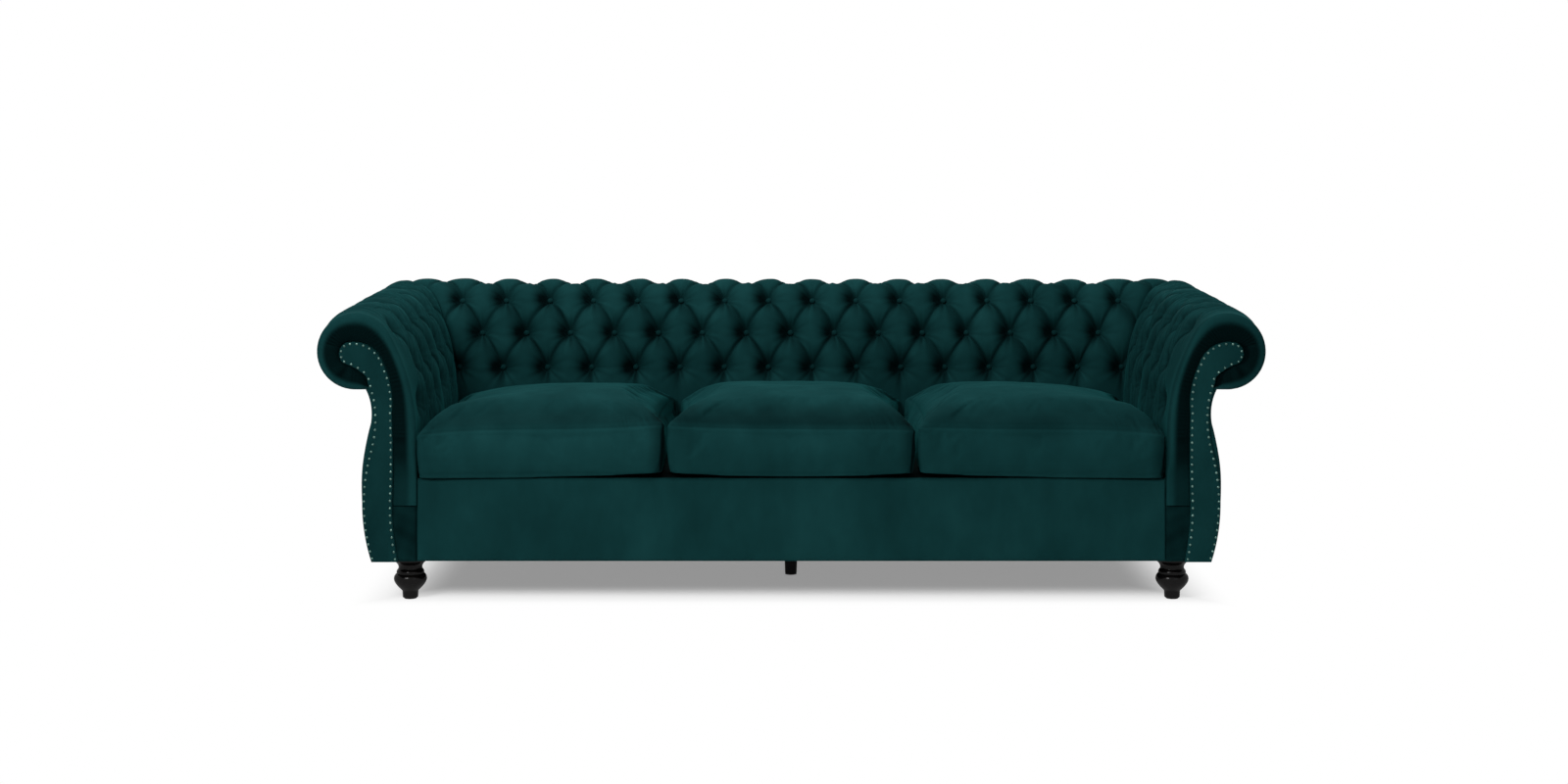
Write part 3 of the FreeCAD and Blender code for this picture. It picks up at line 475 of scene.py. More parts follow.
def tufted(p, q, first, last, taper):
    """Relief of the tufted cover, its shift along the row, its painted shade, and the painted shade
    of its right flanks.

    p counts buttons along a row and q counts rows down from the top one. Creases bow from button
    to button, and run straight on past the outer rows and the first column. The first button and
    the last one bound the rows, and each row ends by the taper sooner than the one above it.
    """
    inside = np.clip(q, 0, LAST_ROW)
    column = np.maximum(p, first)
    alpha, beta = column + inside / 2, column - inside / 2
    a, b = np.abs(np.sin(np.pi * alpha)), np.abs(np.sin(np.pi * beta))
    along, down = p * PITCH, q * ROW_PITCH

    def real_button(button_p, button_q):
        """1 where the pattern has a button, 0 past its ends."""
        in_rows = (button_q > -0.5) & (button_q < LAST_ROW + 0.5)
        in_columns = (button_p > first - 0.1) & (np.abs(button_p) < last - taper * button_q + 0.1)
        return in_rows & in_columns

    dip, gathers, flank = round_buttons(p, q, alpha, beta, real_button)
    off_a, off_b = alpha - np.round(alpha), beta - np.round(beta)
    crease_a = np.exp(-((np.abs(off_a) / 0.052) ** 1.7))
    crease_b = np.exp(-((np.abs(off_b) / 0.052) ** 1.7))
    fold_a = np.exp(-(((off_a - 0.095) / 0.030) ** 2))
    fold_b = np.exp(-(((-off_b - 0.095) / 0.030) ** 2))
    beyond = ease(np.abs(q - LAST_ROW / 2) - LAST_ROW / 2, 0.0, 0.9)
    clear = 1 - np.clip(dip, 0, 1)  # 0 at the buttons, 1 away from them
    crease = np.maximum(crease_a, crease_b) * (1 - 0.6 * beyond) * clear
    fold = (fold_a * b + fold_b * a) * (0.6 + 0.4 * ripple(along, down, 7.7)) * (1 - beyond)
    valley = (1 - np.sqrt(a * b)) ** 1.6 * (1 - 0.35 * beyond)
    strained = 0.65 + 0.35 * ripple(along * 0.7, down * 0.7, 5.3)
    relief = SWELL - DIMPLE * dip - VALLEY * valley - CREASE * crease * strained
    relief = relief - FOLD * fold + GATHER * gathers
    relief = relief + 0.0020 * ripple(along * 1.3, down * 1.3, 1.4) * clear
    relief = relief - 0.0020 * np.exp(-((q / 0.7) ** 2))

    # the cover eases out over the outside of the roll and towards the seat
    relaxed = 0.75 * ease(-q, 0.3, 2.6) + 0.35 * ease(q, 3.3, 5.0)
    relief = relief * (1 - relaxed) + 0.002 * relaxed
    bow = 0.045 * np.abs(np.sin(np.pi * inside)) * (a - b) / (a + b + 0.05)
    shift = PITCH * bow + 0.0024 * ripple(along, down, 3.1) * clear
    # painted shade round the buttons and along the creases, and a painted highlight on the crests
    # of the gathers
    painted_shade = 0.36 * (1 - clear) ** 0.8 + 0.16 * crease * strained - 0.45 * gathers
    # painted shade on the slopes beside the creases, added to the right flanks
    slope_b = np.exp(-((off_b / np.where(off_b < 0, 0.24, 0.05)) ** 2))
    slope_a = np.exp(-((off_a / np.where(off_a < 0, 0.12, 0.05)) ** 2))
    slope_shade = (0.46 * slope_b + 0.16 * slope_a) * (1 - beyond) * clear
    flank = (0.60 * np.clip(flank, 0, 1.1) + slope_shade) * (1 - relaxed)
    return relief, shift * (column == p), painted_shade * (1 - relaxed), flank


def section_rows(bottom, roll_z, tail=0.0):
    """Lengths of the grid's rows, from under the roll to the bottom, closest where buttons are.

    The tail is a stretch under the roll that has close rows too.
    """
    start = -ROLL * math.pi - WEB
    end = ROLL * (math.pi / 2 - LEAN) + TURN * LEAN + (roll_z + STRAIGHT_TOP - bottom)
    fine = np.arange(-1.2 * CELLS, 3.8 * CELLS + 0.5) / CELLS
    coarse = 2 / CELLS
    above = np.arange(fine[0] - coarse, (start - FIRST_ROW) / ROW_PITCH - coarse, -coarse)[::-1]
    below = np.arange(fine[-1] + coarse, (end - FIRST_ROW) / ROW_PITCH + coarse, coarse)
    rows = np.clip(FIRST_ROW + ROW_PITCH * np.concatenate([above, fine, below]), start, end)
    if tail:
        close = np.arange(start, start + tail, 0.004)
        rows = np.concatenate([close, rows[rows > start + tail + 0.002]])
    return rows


def grid_piece(name, columns, rows):
    """A flat grid of cells over the unit square, and its vertices' two shares."""
    deselect()
    bpy.ops.mesh.primitive_grid_add(x_subdivisions=columns, y_subdivisions=rows, size=1)
    piece = take(name)
    spots = points_of(piece)
    return piece, spots[:, 0] + 0.5, spots[:, 1] + 0.5


def padded_shell(piece, spots, painted_shade):
    """Give the grid its places and its painted shade, close its doubles and line it on the inside.
    """
    set_points(piece, spots)
    set_painted_shade(piece, painted_shade)
    face_outwards(piece)
    finish_modifier(piece, "SOLIDIFY", thickness=LINING, offset=-1.0)
    return smooth(piece)


def facing_distance(across, up, out_across, out_up):
    """How far inside the surface the facing's edge lies, at places of the arm's front section."""
    mesh = welded("facing_panel_right")
    level = min(vert.co.y for vert in mesh.verts) + 1e-4
    outline = []
    for edge in mesh.edges:
        first, second = (vert.co for vert in edge.verts)
        if max(first.y, second.y) < level and any(face.normal.y > -0.5 for face in edge.link_faces):
            outline += [first.lerp(second, share) for share in np.linspace(0, 1, 24)]
    mesh.free()
    edge_x = np.array([spot.x for spot in outline]) - ROLL_X
    edge_z = np.array([spot.z for spot in outline]) - ROLL_Z
    to_x, to_z = edge_x[None] - across[:, None], edge_z[None] - up[:, None]
    inwards = -(to_x * out_across[:, None] + to_z * out_up[:, None])
    aside = np.abs(to_x * out_up[:, None] - to_z * out_across[:, None])
    found = np.where((aside < 0.003) & (inwards > -0.002), inwards, 1.0).min(1)
    nearest = np.hypot(to_x, to_z).min(1)
    return np.clip(np.where(found < 0.12, found, nearest), 0.004, 0.075)


def round_corner(across, out_across, straight, run):
    """A run cut off at the mitred seam, how near the seam it is, and its turn round the corner."""
    whole = straight + np.where(across > 0, across * math.pi / 4, across - SEAM_DEPTH * out_across)
    run = np.minimum(run, whole)
    turned = np.maximum(run - straight, 0) / np.maximum(across, 1e-4)
    return run, np.exp(-(whole - run) / SEAM_WIDTH), np.where(across > 1e-4, turned, 0)


def front_ring(angle, length, start, up, width):
    """How far the ring lies inside the surface and past the front, and its painted shade."""
    flat = 1 - 0.8 * ease(-(ROLL_Z + up), -0.36, -0.27)
    shown = ease(length - start, 0.003, 0.028)
    height = RING_HEIGHT * flat * shown * np.clip(width / 0.04, 0, 1)
    inset = width * ((1 - np.cos(angle)) / 2) ** 1.25
    reach = 0.0008 + 0.004 * (1 - shown) - height * np.clip(np.sin(angle), 0, 1) ** 0.9
    pleats = np.sin(length * 640 + 2.5 * np.sin(length * 41))
    pleats = pleats * (0.55 + 0.45 * ripple(length * 2, 0.0, 2.2))
    inner = np.clip(np.sin(angle), 0, 1) * ease(angle, 1.0, 1.9)
    around = ease(length, -0.30, -0.12) * (1 - ease(length, 0.05, 0.2))
    reach = reach + 0.0013 * pleats * inner * (0.25 + 0.75 * around)
    # painted shade on the ring's inner slope beside the facing, streaked by the pleats
    slope = ease(angle, 1.10, 1.65) * (0.92 + 0.10 * pleats * inner)
    return inset, reach, slope * (0.45 + 0.55 * flat)


def arm_padding():
    """The right arm's tufted cover, ending at the front in a soft ring round the facing.

    The grid's first columns make the ring, and the others run back along the arm to the mitre.
    """
    step = PITCH / (2 * CELLS)
    ring = len(RING_ANGLES)
    first_run = ARM_START - step * int((ARM_START - 0.003) / step)
    lengths = section_rows(PAD_LOW.z, ROLL_Z, 0.060)
    straight = ROLL_Y - FRONT
    columns = ring + int((straight + PAST_CORNER - first_run) / step) + 1
    piece, u, v = grid_piece("arm_tufting_right", columns, len(lengths) - 1)
    column = np.round(u * columns).astype(int)
    row = np.round(v * (len(lengths) - 1)).astype(int)

    section = section_at(lengths)
    near = np.exp(-((lengths[:, None] - lengths[None]) / 0.007) ** 2)
    width = ((near @ facing_distance(*section)) / near.sum(1))[row]
    length = lengths[row]
    across, up, out_across, out_up = (values[row] for values in section)
    on_ring = column < ring
    angle = RING_ANGLES[np.minimum(column, ring - 1)]
    hidden = np.where(column == 0, RING_HIDDEN[0], np.where(column == 1, RING_HIDDEN[1], 0.0))
    inset, reach, ring_painted_shade = front_ring(angle, length, lengths[0], up, width)
    inset = np.where(on_ring, inset + hidden, 0)

    run = first_run + (column - ring) * step
    run, seam, corner = round_corner(across, out_across, straight, run)
    y = np.where(on_ring, FRONT + reach, FRONT + np.minimum(run, straight))
    corner = np.where(on_ring, 0, corner)
    p, q = (y - FRONT - ARM_START) / PITCH, (length - FIRST_ROW) / ROW_PITCH
    relief, shift, painted_shade, flank = tufted(p, q, -0.5, 5, 0.5)
    folds = np.sin((y + 0.35 * length) * 330 + 2.4 * ripple(y, length, 6.1))
    folds = folds * ease(ripple(y * 0.8, length * 0.6, 9.1), -0.5, 0.5) * ease(length, -0.12, 0.02)
    relief = 0.85 * relief + 0.0022 * folds
    taken = ease(y - FRONT, 0.012, 0.085)
    relief = np.where(on_ring, 0, relief * taken * (1 - seam) - SEAM_DEPTH * seam)
    y = y + np.where(on_ring, 0, shift * taken * (1 - ease(seam, 0.02, 0.4)))

    rise = np.clip((y - FRONT) / (ROLL_Y - FRONT), 0, 1)
    across, up = across + (relief - inset) * out_across, up + (relief - inset) * out_up
    x = ROLL_X + across * np.cos(corner)
    y = y + np.where(corner > 0, across * np.sin(corner), 0)
    z = ROLL_Z + (BACK_ROLL_Z - ROLL_Z) * rise + up
    # painted shade from the tufting and the right flanks, with painted light and shade along the
    # folds
    painted_shade = (painted_shade + 0.5 * flank - 0.16 * folds) * taken
    painted_shade = np.where(on_ring, ring_painted_shade, painted_shade)
    return padded_shell(piece, np.stack([x, y, z], axis=1), painted_shade)


def back_padding():
    """The tufted cover of the back, mitred into the arms at both corners."""
    step = PITCH / (2 * CELLS)
    half = int((ROLL_X + PAST_CORNER) / step) + 1
    lengths = section_rows(BACK_LOW.z, BACK_ROLL_Z)
    piece, u, v = grid_piece("back_tufting", 2 * half, len(lengths) - 1)
    column = np.round(u * 2 * half).astype(int) - half
    length = lengths[np.round(v * (len(lengths) - 1)).astype(int)]
    across, up, out_across, out_up = section_at(length)
    side = np.where(column < 0, -1.0, 1.0)
    run, seam, corner = round_corner(across, out_across, ROLL_X, np.abs(column) * step)
    x = np.minimum(run, ROLL_X)
    p, q = side * x / PITCH, (length - FIRST_ROW) / ROW_PITCH
    relief, shift, painted_shade, flank = tufted(p, q, -9, 7.5, 0)
    relief = relief * (1 - seam) - SEAM_DEPTH * seam
    across, up = across + relief * out_across, up + relief * out_up
    x = side * (x + across * np.sin(corner)) + shift * (1 - ease(seam, 0.02, 0.4))
    y = ROLL_Y + across * np.cos(corner)
    z = BACK_ROLL_Z + up
    # painted shade from the tufting and the right flanks, made a little stronger on the back
    return padded_shell(piece, np.stack([x, y, z], axis=1), 1.15 * (painted_shade + flank))


arm_right = arm_padding()
arm_left = mirrored(arm_right, "arm_tufting_left")
# painted shade on the right arm's inside face, which faces left
add_painted_shade(arm_right, 0.42 * ease(-normals_of(arm_right)[:, 0], 0.35, 0.85))
pads = ((arm_right, "arm_pad_right"), (arm_left, "arm_pad_left"), (back_padding(), "back_pad"))
for piece, name in pads:
    dress(piece, VELVET)
    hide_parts(name)


# Covered buttons and nail heads, one on each of the model's


def islands(node):
    """Centre of the rim and outward direction of every separate head of a node."""
    mesh = welded(node)
    left = set(mesh.verts)
    heads = []
    while left:
        group, queue = [], [left.pop()]
        while queue:
            vert = queue.pop()
            group.append(vert)
            for edge in vert.link_edges:
                other = edge.other_vert(vert)
                if other in left:
                    left.discard(other)
                    queue.append(other)
        middle = sum((vert.co for vert in group), Vector()) / len(group)
        tip = min(group, key=lambda vert: (vert.co - middle).length)
        rim = [vert.co for vert in group if vert is not tip]
        centre = sum(rim, Vector()) / len(rim)
        heads.append((centre, (tip.co - centre).normalized()))
    mesh.free()
    heads.sort(key=lambda head: (round(head[0].x, 4), round(head[0].y, 4), round(head[0].z, 4)))
    return heads


def domed(name, cells, radius, above, below):
    """A ball pressed to a dome, by one share above its middle and another below."""
    deselect()
    bpy.ops.mesh.primitive_uv_sphere_add(segments=cells[0], ring_count=cells[1], radius=radius)
    head = take(name)
    spots = points_of(head)
    spots[:, 2] *= np.where(spots[:, 2] > 0, above, below)
    set_points(head, spots)
    return head


def copies_on(pattern, node, name, sink):
    """A copy of the pattern on each head of a node, sunk a little into what carries it."""
    pieces = []
    for centre, outward in islands(node):
        copy = pattern.copy()
        copy.data = pattern.data.copy()
        turn = Vector((0, 0, 1)).rotation_difference(outward).to_matrix().to_4x4()
        copy.data.transform(Matrix.Translation(centre - outward * sink) @ turn)
        bpy.context.scene.collection.objects.link(copy)
        pieces.append(copy)
    return joined(pieces, name)


BUTTON_RADIUS, BUTTON_SINK = 0.0072, 0.0125
NAIL_RADIUS, NAIL_SINK = 0.0030, 0.0003
button_pattern = smooth(domed("button_pattern", (14, 8), BUTTON_RADIUS, 0.62, 0.45))
# painted shade: the buttons are darkened where they sit deep in their dips
set_painted_shade(button_pattern, 0.45)
nail_pattern = smooth(face_outwards(domed("nail_pattern", (10, 6), NAIL_RADIUS, 0.62, 0.0)))
for node in ("back_buttons", "arm_buttons_right", "arm_buttons_left"):
    buttons = copies_on(button_pattern, node, "covered_" + node, BUTTON_SINK)
    dress(buttons, VELVET)
    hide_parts(node)
for side in ("right", "left"):
    nails = copies_on(nail_pattern, "facing_nails_" + side, "nail_heads_" + side, NAIL_SINK)
    dress(nails, NAIL_METAL)
    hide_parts("facing_nails_" + side)
for pattern in (button_pattern, nail_pattern):
    bpy.data.objects.remove(pattern)


# Facings, borders and outside panels


def facing_cover():
    """The velvet-covered facing: its board, with the front edge rounded under the cloth."""
    pick(nodes["facing_panel_right"])
    bpy.ops.object.duplicate()
    piece = bpy.context.object
    piece.parent = None
    for key in list(piece.keys()):
        del piece[key]
    piece.name = piece.data.name = "facing_cover_right"
    with editing(piece):
        bpy.ops.mesh.remove_doubles(threshold=1e-5)
        bpy.ops.mesh.dissolve_limited(angle_limit=math.radians(1))
        bpy.ops.mesh.select_all(action="DESELECT")
    for polygon in piece.data.polygons:
        polygon.select = polygon.normal.y < -0.9
    with editing(piece, None):
        bpy.ops.mesh.region_to_loop()
        bpy.ops.mesh.bevel(offset=0.003, segments=4, affect="EDGES")
    return smooth(piece, 50)


def closed_behind(piece, axis, level):
    """Close a curved face with straight sides and a flat back at a level of one axis."""
    with editing(piece, "DESELECT"):
        bpy.ops.mesh.select_mode(type="EDGE")
        bpy.ops.mesh.select_non_manifold()
        bpy.ops.mesh.extrude_region_move()
    for vert in piece.data.vertices:
        if vert.select:
            vert.co[axis] = level
    with editing(piece, None):
        bpy.ops.mesh.edge_face_add()
        bpy.ops.mesh.select_mode(type="VERT")
        bpy.ops.mesh.select_all(action="SELECT")
        bpy.ops.mesh.normals_make_consistent(inside=False)
    return smooth(piece, 60)


def edge_round(u, v, width, height, radius):
    """How far the face has turned back at a point, given as shares of its width and height."""
    to_edge = np.minimum(np.minimum(u, 1 - u) * width, np.minimum(v, 1 - v) * height)
    inwards = np.clip(radius - to_edge, 0, radius)
    return radius - np.sqrt(radius * radius - inwards * inwards)


def spread(share, length, radius):
    """Shares bunched towards both ends, so that a rounded edge has cells enough."""
    ends = min(4 * radius / length, 0.3)
    return np.interp(share, (0, 0.2, 0.8, 1), (0, ends, 1 - ends, 1))


def flat_cover(name, low, high, axis, outward, radius, crown, cells, seed):
    """A padded cover over a flat board: rounded at its edges, a little full in the middle."""
    wide = [k for k in range(3) if k != axis]  # the two axes along the board
    width, height = (high[k] - low[k] for k in wide)
    piece, u, v = grid_piece(name, *cells)
    u, v = spread(u, width, radius), spread(v, height, radius)
    fullness = crown * (1 - np.abs(2 * u - 1) ** 4) * (1 - np.abs(2 * v - 1) ** 4)
    pull = 0.0006 * ripple(u * width, v * height, seed)
    turned_back = edge_round(u, v, width, height, radius)
    face, back = (high[axis], low[axis]) if outward > 0 else (low[axis], high[axis])
    spots = np.zeros((len(u), 3))
    spots[:, wide[0]] = low[wide[0]] + u * width
    spots[:, wide[1]] = low[wide[1]] + v * height
    spots[:, axis] = face + outward * (fullness + pull - turned_back)
    set_points(piece, spots)
    return closed_behind(piece, axis, back)


# The outside of the arm in section: share of the height, and how far out from the web
PANEL_CURVE = ((0.0, 0.010), (0.36, 0.033), (0.80, 0.012), (0.91, 0.013), (1.0, 0.025))
CURVES_MEET = 0.78  # share of the grid's rows where the second arc takes over


def arc_between(first, middle, last, share):
    """Points on the circle through three points, by share of its angle."""
    (ax, ay), (bx, by), (cx, cy) = first, middle, last
    turn = 2 * (ax * (by - cy) + bx * (cy - ay) + cx * (ay - by))
    a2, b2, c2 = ax * ax + ay * ay, bx * bx + by * by, cx * cx + cy * cy
    centre_x = (a2 * (by - cy) + b2 * (cy - ay) + c2 * (ay - by)) / turn
    centre_y = (a2 * (cx - bx) + b2 * (ax - cx) + c2 * (bx - ax)) / turn
    radius = math.hypot(ax - centre_x, ay - centre_y)
    start = math.atan2(ay - centre_y, ax - centre_x)
    end = math.atan2(cy - centre_y, cx - centre_x)
    sweep = (end - start + math.pi) % (2 * math.pi) - math.pi
    angle = start + share * sweep
    return centre_x + radius * np.cos(angle), centre_y + radius * np.sin(angle)


def outside_arm_cover():
    """The outside of the right arm: it swells low down and draws in under the roll."""
    low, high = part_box("outside_arm_panel_right")
    web = ROLL_X - WEB
    end_round, under_round, most_round = 0.008, 0.006, 0.009
    piece, u, v = grid_piece("outside_arm_cover_right", 130, 84)
    u = spread(u, high.y - low.y, end_round)
    y = low.y + u * (high.y - low.y)
    rise = (BACK_ROLL_Z - ROLL_Z) * np.clip((y - FRONT) / (ROLL_Y - FRONT), 0, 1)
    height = ROLL_Z - ROLL - low.z
    lower = [(height * share, out) for share, out in PANEL_CURVE[:3]]
    upper = [(height * share, out) for share, out in PANEL_CURVE[2:]]
    low_z, low_x = arc_between(*lower, np.clip(v / CURVES_MEET, 0, 1))
    top_z, top_x = arc_between(*upper, np.clip((v - CURVES_MEET) / (1 - CURVES_MEET), 0, 1))
    up = np.where(v < CURVES_MEET, low_z, top_z)
    out = np.where(v < CURVES_MEET, low_x, top_x)
    fold = 0.0012 * ripple(y, up, 4.4) * ease(up, 0.02, 0.1)
    middle = np.full_like(u, 0.5)
    turned_back = edge_round(u, middle, high.y - low.y, 1.0, end_round)
    turned_under = edge_round(middle, np.clip(v, 0, 0.5), 1.0, height, under_round)
    x = web + out + fold - np.minimum(turned_back + turned_under, most_round)
    z = low.z + up + rise * up / height
    set_points(piece, np.stack([x, y, z], axis=1))
    return closed_behind(piece, 0, web)


def with_twin(piece, node):
    """Dress a right-hand piece and its mirror image, each for its own node. Gives the twin."""
    twin = mirrored(piece, piece.name.replace("right", "left"))
    for each, own_node in ((piece, node), (twin, node.replace("right", "left"))):
        dress(each, VELVET)
        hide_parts(own_node)
    return twin


left_facing = with_twin(facing_cover(), "facing_panel_right")
set_painted_shade(left_facing, 0.22)  # painted shade: the whole left facing is a little darker than the right one
with_twin(outside_arm_cover(), "outside_arm_panel_right")
low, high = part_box("arm_base_border_right")
border = flat_cover("base_border_cover_right", low, high, 1, -1, 0.005, 0.0015, (24, 34), 1.9)
x, _, z = points_of(border).T
# painted shade: the base border under the arm's padding is darkened, unevenly
set_painted_shade(border, 0.68 + 0.2 * ripple(x * 3, z * 3, 0.7))
with_twin(border, "arm_base_border_right")

# name, node, axis, outwards, rounding, fullness, cells, slot, material
FLAT_COVERS = (
    ("front_rail_cover", "front_border", 1, -1, 0.006, 0.002, (220, 34), "velvet", VELVET),
    ("outside_back_cover", "outside_back_panel", 1, 1, 0.007, 0.004, (200, 60), "velvet", VELVET),
    ("seat_deck_cover", "deck_pad", 2, 1, 0.006, 0.002, (160, 70), "deck_cloth", DECK_CLOTH),
)
for name, node, axis, outward, radius, crown, cells, slot, material in FLAT_COVERS:
    low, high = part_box(node)
    cover = flat_cover(name, low, high, axis, outward, radius, crown, cells, 2.7)
    dress(cover, material)
    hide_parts(node)


# Seat cushions


def inflate(piece, pressure, limit, frames=20):
    """Let the cover swell as stuffed cloth, held where it rests, no point moving past the limit."""
    before = points_of(piece)
    resting = np.nonzero(before[:, 2] < before[:, 2].min() + 0.014)[0].tolist()
    held = piece.vertex_groups.new(name="resting")
    held.add(resting, 1.0, "REPLACE")
    pick(piece)
    cloth = piece.modifiers.new("stuffing", "CLOTH")
    cloth.settings.effector_weights.gravity = 0
    set_all(
        cloth.settings, quality=5, mass=0.3, vertex_group_mass=held.name,
        use_pressure=True, uniform_pressure_force=pressure,
        tension_stiffness=12, compression_stiffness=6, shear_stiffness=4, bending_stiffness=0.3,
    )
    cloth.point_cache.frame_start = 1
    cloth.point_cache.frame_end = frames
    for number in range(1, frames + 1):
        bpy.context.scene.frame_set(number)
    bpy.ops.object.modifier_apply(modifier=cloth.name)
    bpy.context.scene.frame_set(1)
    moved = points_of(piece) - before
    distance = np.linalg.norm(moved, axis=1, keepdims=True)
    moved *= np.minimum(1, limit / np.maximum(distance, 1e-9))
    set_points(piece, before + moved)
    piece.vertex_groups.clear()
    return piece


def from_peak(place, peak):
    """How far places lie from the peak towards their own end, from 0 to 1."""
    share = np.where(place < peak, (peak - place) / (1 + peak), (place - peak) / (1 - peak))
    return np.clip(share, 0, 1)


def crowned_blank(name, low, high, seam, lift, peak, flanks):
    """The cushion before it is stuffed: a box drawn to a crown, its bottom corners lifted in front.

    The crown's ridge lies at the peak's shares of the width and depth, and each flank falls off by
    its own two exponents.
    """
    deselect()
    bpy.ops.mesh.primitive_cube_add(size=2)
    piece = take(name)
    with editing(piece):
        bpy.ops.mesh.subdivide(number_cuts=47)
    a, b, c = points_of(piece).T
    rounded = (np.abs(a) ** 30 + np.abs(b) ** 30) ** (1 / 30)
    plan = np.maximum(np.abs(a), np.abs(b)) / np.maximum(rounded, 1e-9)
    a, b = a * plan, b * plan
    beside, behind = from_peak(a, peak[0]), from_peak(b, peak[1])
    left, right = ((1 - beside ** flank[0]) ** flank[1] for flank in flanks)
    across = np.where(a < peak[0], left, right)
    in_front = ease(-b, 0.3, 0.95)
    across = across * (1 - in_front) + (1 - np.abs(a) ** 8) ** 0.5 * in_front
    crown = across * (1 - behind ** 2) ** 0.45
    low, high = np.array(low), np.array(high)
    centre, half = (low + high) / 2, (high - low) / 2
    lifted = lift[0] * ((1 - a) / 2) ** 3 + lift[1] * ((1 + a) / 2) ** 3
    bottom = low[2] + lifted * ease(-b, 0.55, 1.0)
    upper = seam + (high[2] - seam) * crown * (c > 0.999)
    z = np.where(c > 0.999, upper, bottom + (seam - bottom) * (c + 1) / 2)
    inwards = np.where(np.abs(c) < 0.999, 0.984 + 0.012 * (1 - c * c), 0.984)
    x, y = centre[0] + a * half[0] * inwards, centre[1] + b * half[1] * inwards
    set_points(piece, np.stack([x, y, z], axis=1))
    return piece


def fitted(piece, low, high, seam, fullness):
    """Fill out the corners in plan and bring every level of the boxing to its solid's sides."""
    spots = points_of(piece)
    least, most = spots.min(0), spots.max(0)
    low, high = np.array(low), np.array(high)
    z = low[2] + (spots[:, 2] - least[2]) / (most[2] - least[2]) * (high[2] - low[2])
    plan = 2 * (spots[:, :2] - least[:2]) / (most[:2] - least[:2]) - 1
    full = fullness * (0.5 + 0.5 * ease(z, low[2], seam))
    plan = plan * (1 + full[:, None] * plan[:, ::-1] ** 2)
    levels = np.linspace(low[2] + 0.004, seam, 10)
    for k in (0, 1):
        for sign in (-1, 1):
            reach = [(sign * plan[np.abs(z - level) < 0.009, k]).max() for level in levels]
            out = sign * plan[:, k] > 0
            wanted = 1 - 0.012 * np.clip((z - low[2]) / (seam - low[2]) * 2 - 1, -1, 1) ** 2
            plan[out, k] *= wanted[out] / np.interp(z[out], levels, reach)
    middle, half = (low + high)[:2] / 2, (high - low)[:2] / 2
    set_points(piece, np.column_stack([middle + plan * half, z]))
    return piece


def sewn(piece, low, high, seam, tilt, nap, seed):
    """Seams along the boxing, pinched corners, puckers beside them, soft hollows on the seat, and
    painted shade.
    """
    spots, ways = points_of(piece), normals_of(piece)
    x, y, z = spots.T
    centre = ((low[0] + high[0]) / 2, (low[1] + high[1]) / 2)
    half = ((high[0] - low[0]) / 2, (high[1] - low[1]) / 2)
    a, b = (x - centre[0]) / half[0], (y - centre[1]) / half[1]
    side_on = np.clip((1 - np.abs(ways[:, 2])) * 2.5, 0, 1)
    tilted = tilt[0] * ((1 - a) / 2) ** 6 + tilt[1] * ((1 + a) / 2) ** 6 - 0.003 * (1 - a * a)
    tilted = tilted * ease(-b, 0.2, 0.9)
    over = z - seam
    under = z - (low[2] + 0.009)
    spots[:, 2] += tilted * ease(z, low[2] + 0.02, seam) * (1 - ease(z, seam, high[2]))
    groove = -0.0015 * np.exp(-((over / 0.0034) ** 2))
    welt = -0.0015 * np.exp(-((under / 0.003) ** 2))

    front = ease(-b, 0.75, 0.97)
    beside = ease(a, 0.45, 0.72) * (1 - ease(a, 0.93, 1.0))
    beside = beside + 0.35 * ease(-a, 0.6, 0.8) * (1 - ease(-a, 0.93, 1.0))
    gathered = front * beside * np.exp(-(((over - 0.012) / 0.016) ** 2))
    waves = np.sin(x * 500 + z * 190 + 3.4 * np.sin(x * 53 + seed))
    pucker = waves * gathered * (0.5 + 0.5 * np.sin(x * 131 + seed))
    soft = 0.0020 * ripple(x * 0.55, y * 0.55, seed) * ways[:, 2].clip(0, 1)
    creases = 0.0009 * ripple(x * 1.6, y * 1.6, seed + 1.1) * ways[:, 2].clip(0, 1)
    move = side_on * (groove + welt) + 0.0013 * pucker + soft + creases
    spots = spots + ways * move[:, None]

    to_corner = np.hypot((1 - np.abs(a)) * half[0], (1 - np.abs(b)) * half[1])
    pinch = np.exp(-((to_corner / 0.030) ** 2)) * np.exp(-((over / 0.014) ** 2))
    spots[:, 0] += 0.004 * np.sign(a) * pinch
    spots[:, 1] += 0.006 * np.sign(b) * pinch
    spots[:, 2] = np.maximum(spots[:, 2], low[2] + 0.0003)
    set_points(piece, spots)

    # painted shade low on the front slope, on faces turned right, at the right end and along the
    # seam, with painted highlights on the puckers
    height = over / 0.070 + 0.14 * ripple(x * 1.6, y * 1.5, seed)
    height = height + 0.05 * ripple(x * 5.0, y * 4.0, seed + 2.0)
    brushed = nap * ease(-b, 0.30, 0.80) * (1 - ease(height, 0.25, 0.95))
    brushed = brushed * ease(over, -0.004, 0.014)
    turned = 0.6 * ease(ways[:, 0], 0.25, 0.8) * ease(a, 0.3, 0.7) + 0.50 * ease(a, 0.83, 0.97)
    painted_seam_shade = 0.16 * np.exp(-((over / 0.0025) ** 2)) * side_on
    set_painted_shade(piece, brushed + turned + painted_seam_shade - 0.12 * pucker)
    return piece


SEAM_HEIGHT = 0.400  # of the seam between the boxing and the top
FRONT_BULGE = 0.007  # how far the boxing swells past the solid's front
VOXEL = 0.006
PRESSURE = 4.0
MOST_SWELLING = 0.012
CORNERS_OUT = 0.085  # share by which corners rounded by stuffing go out
RIDGE_DEPTH = -0.3  # the crown's ridge lies this share in front of the middle
FOAM_FROM_LOW = Vector((0.026, 0.026, 0.022))  # from the solid's corners in to the foam's
FOAM_FROM_HIGH = Vector((0.026, 0.026, 0.040))
STEEP, EVEN, GENTLE = (4.0, 0.5), (4.5, 0.85), (2.5, 0.8)  # the two exponents of a flank
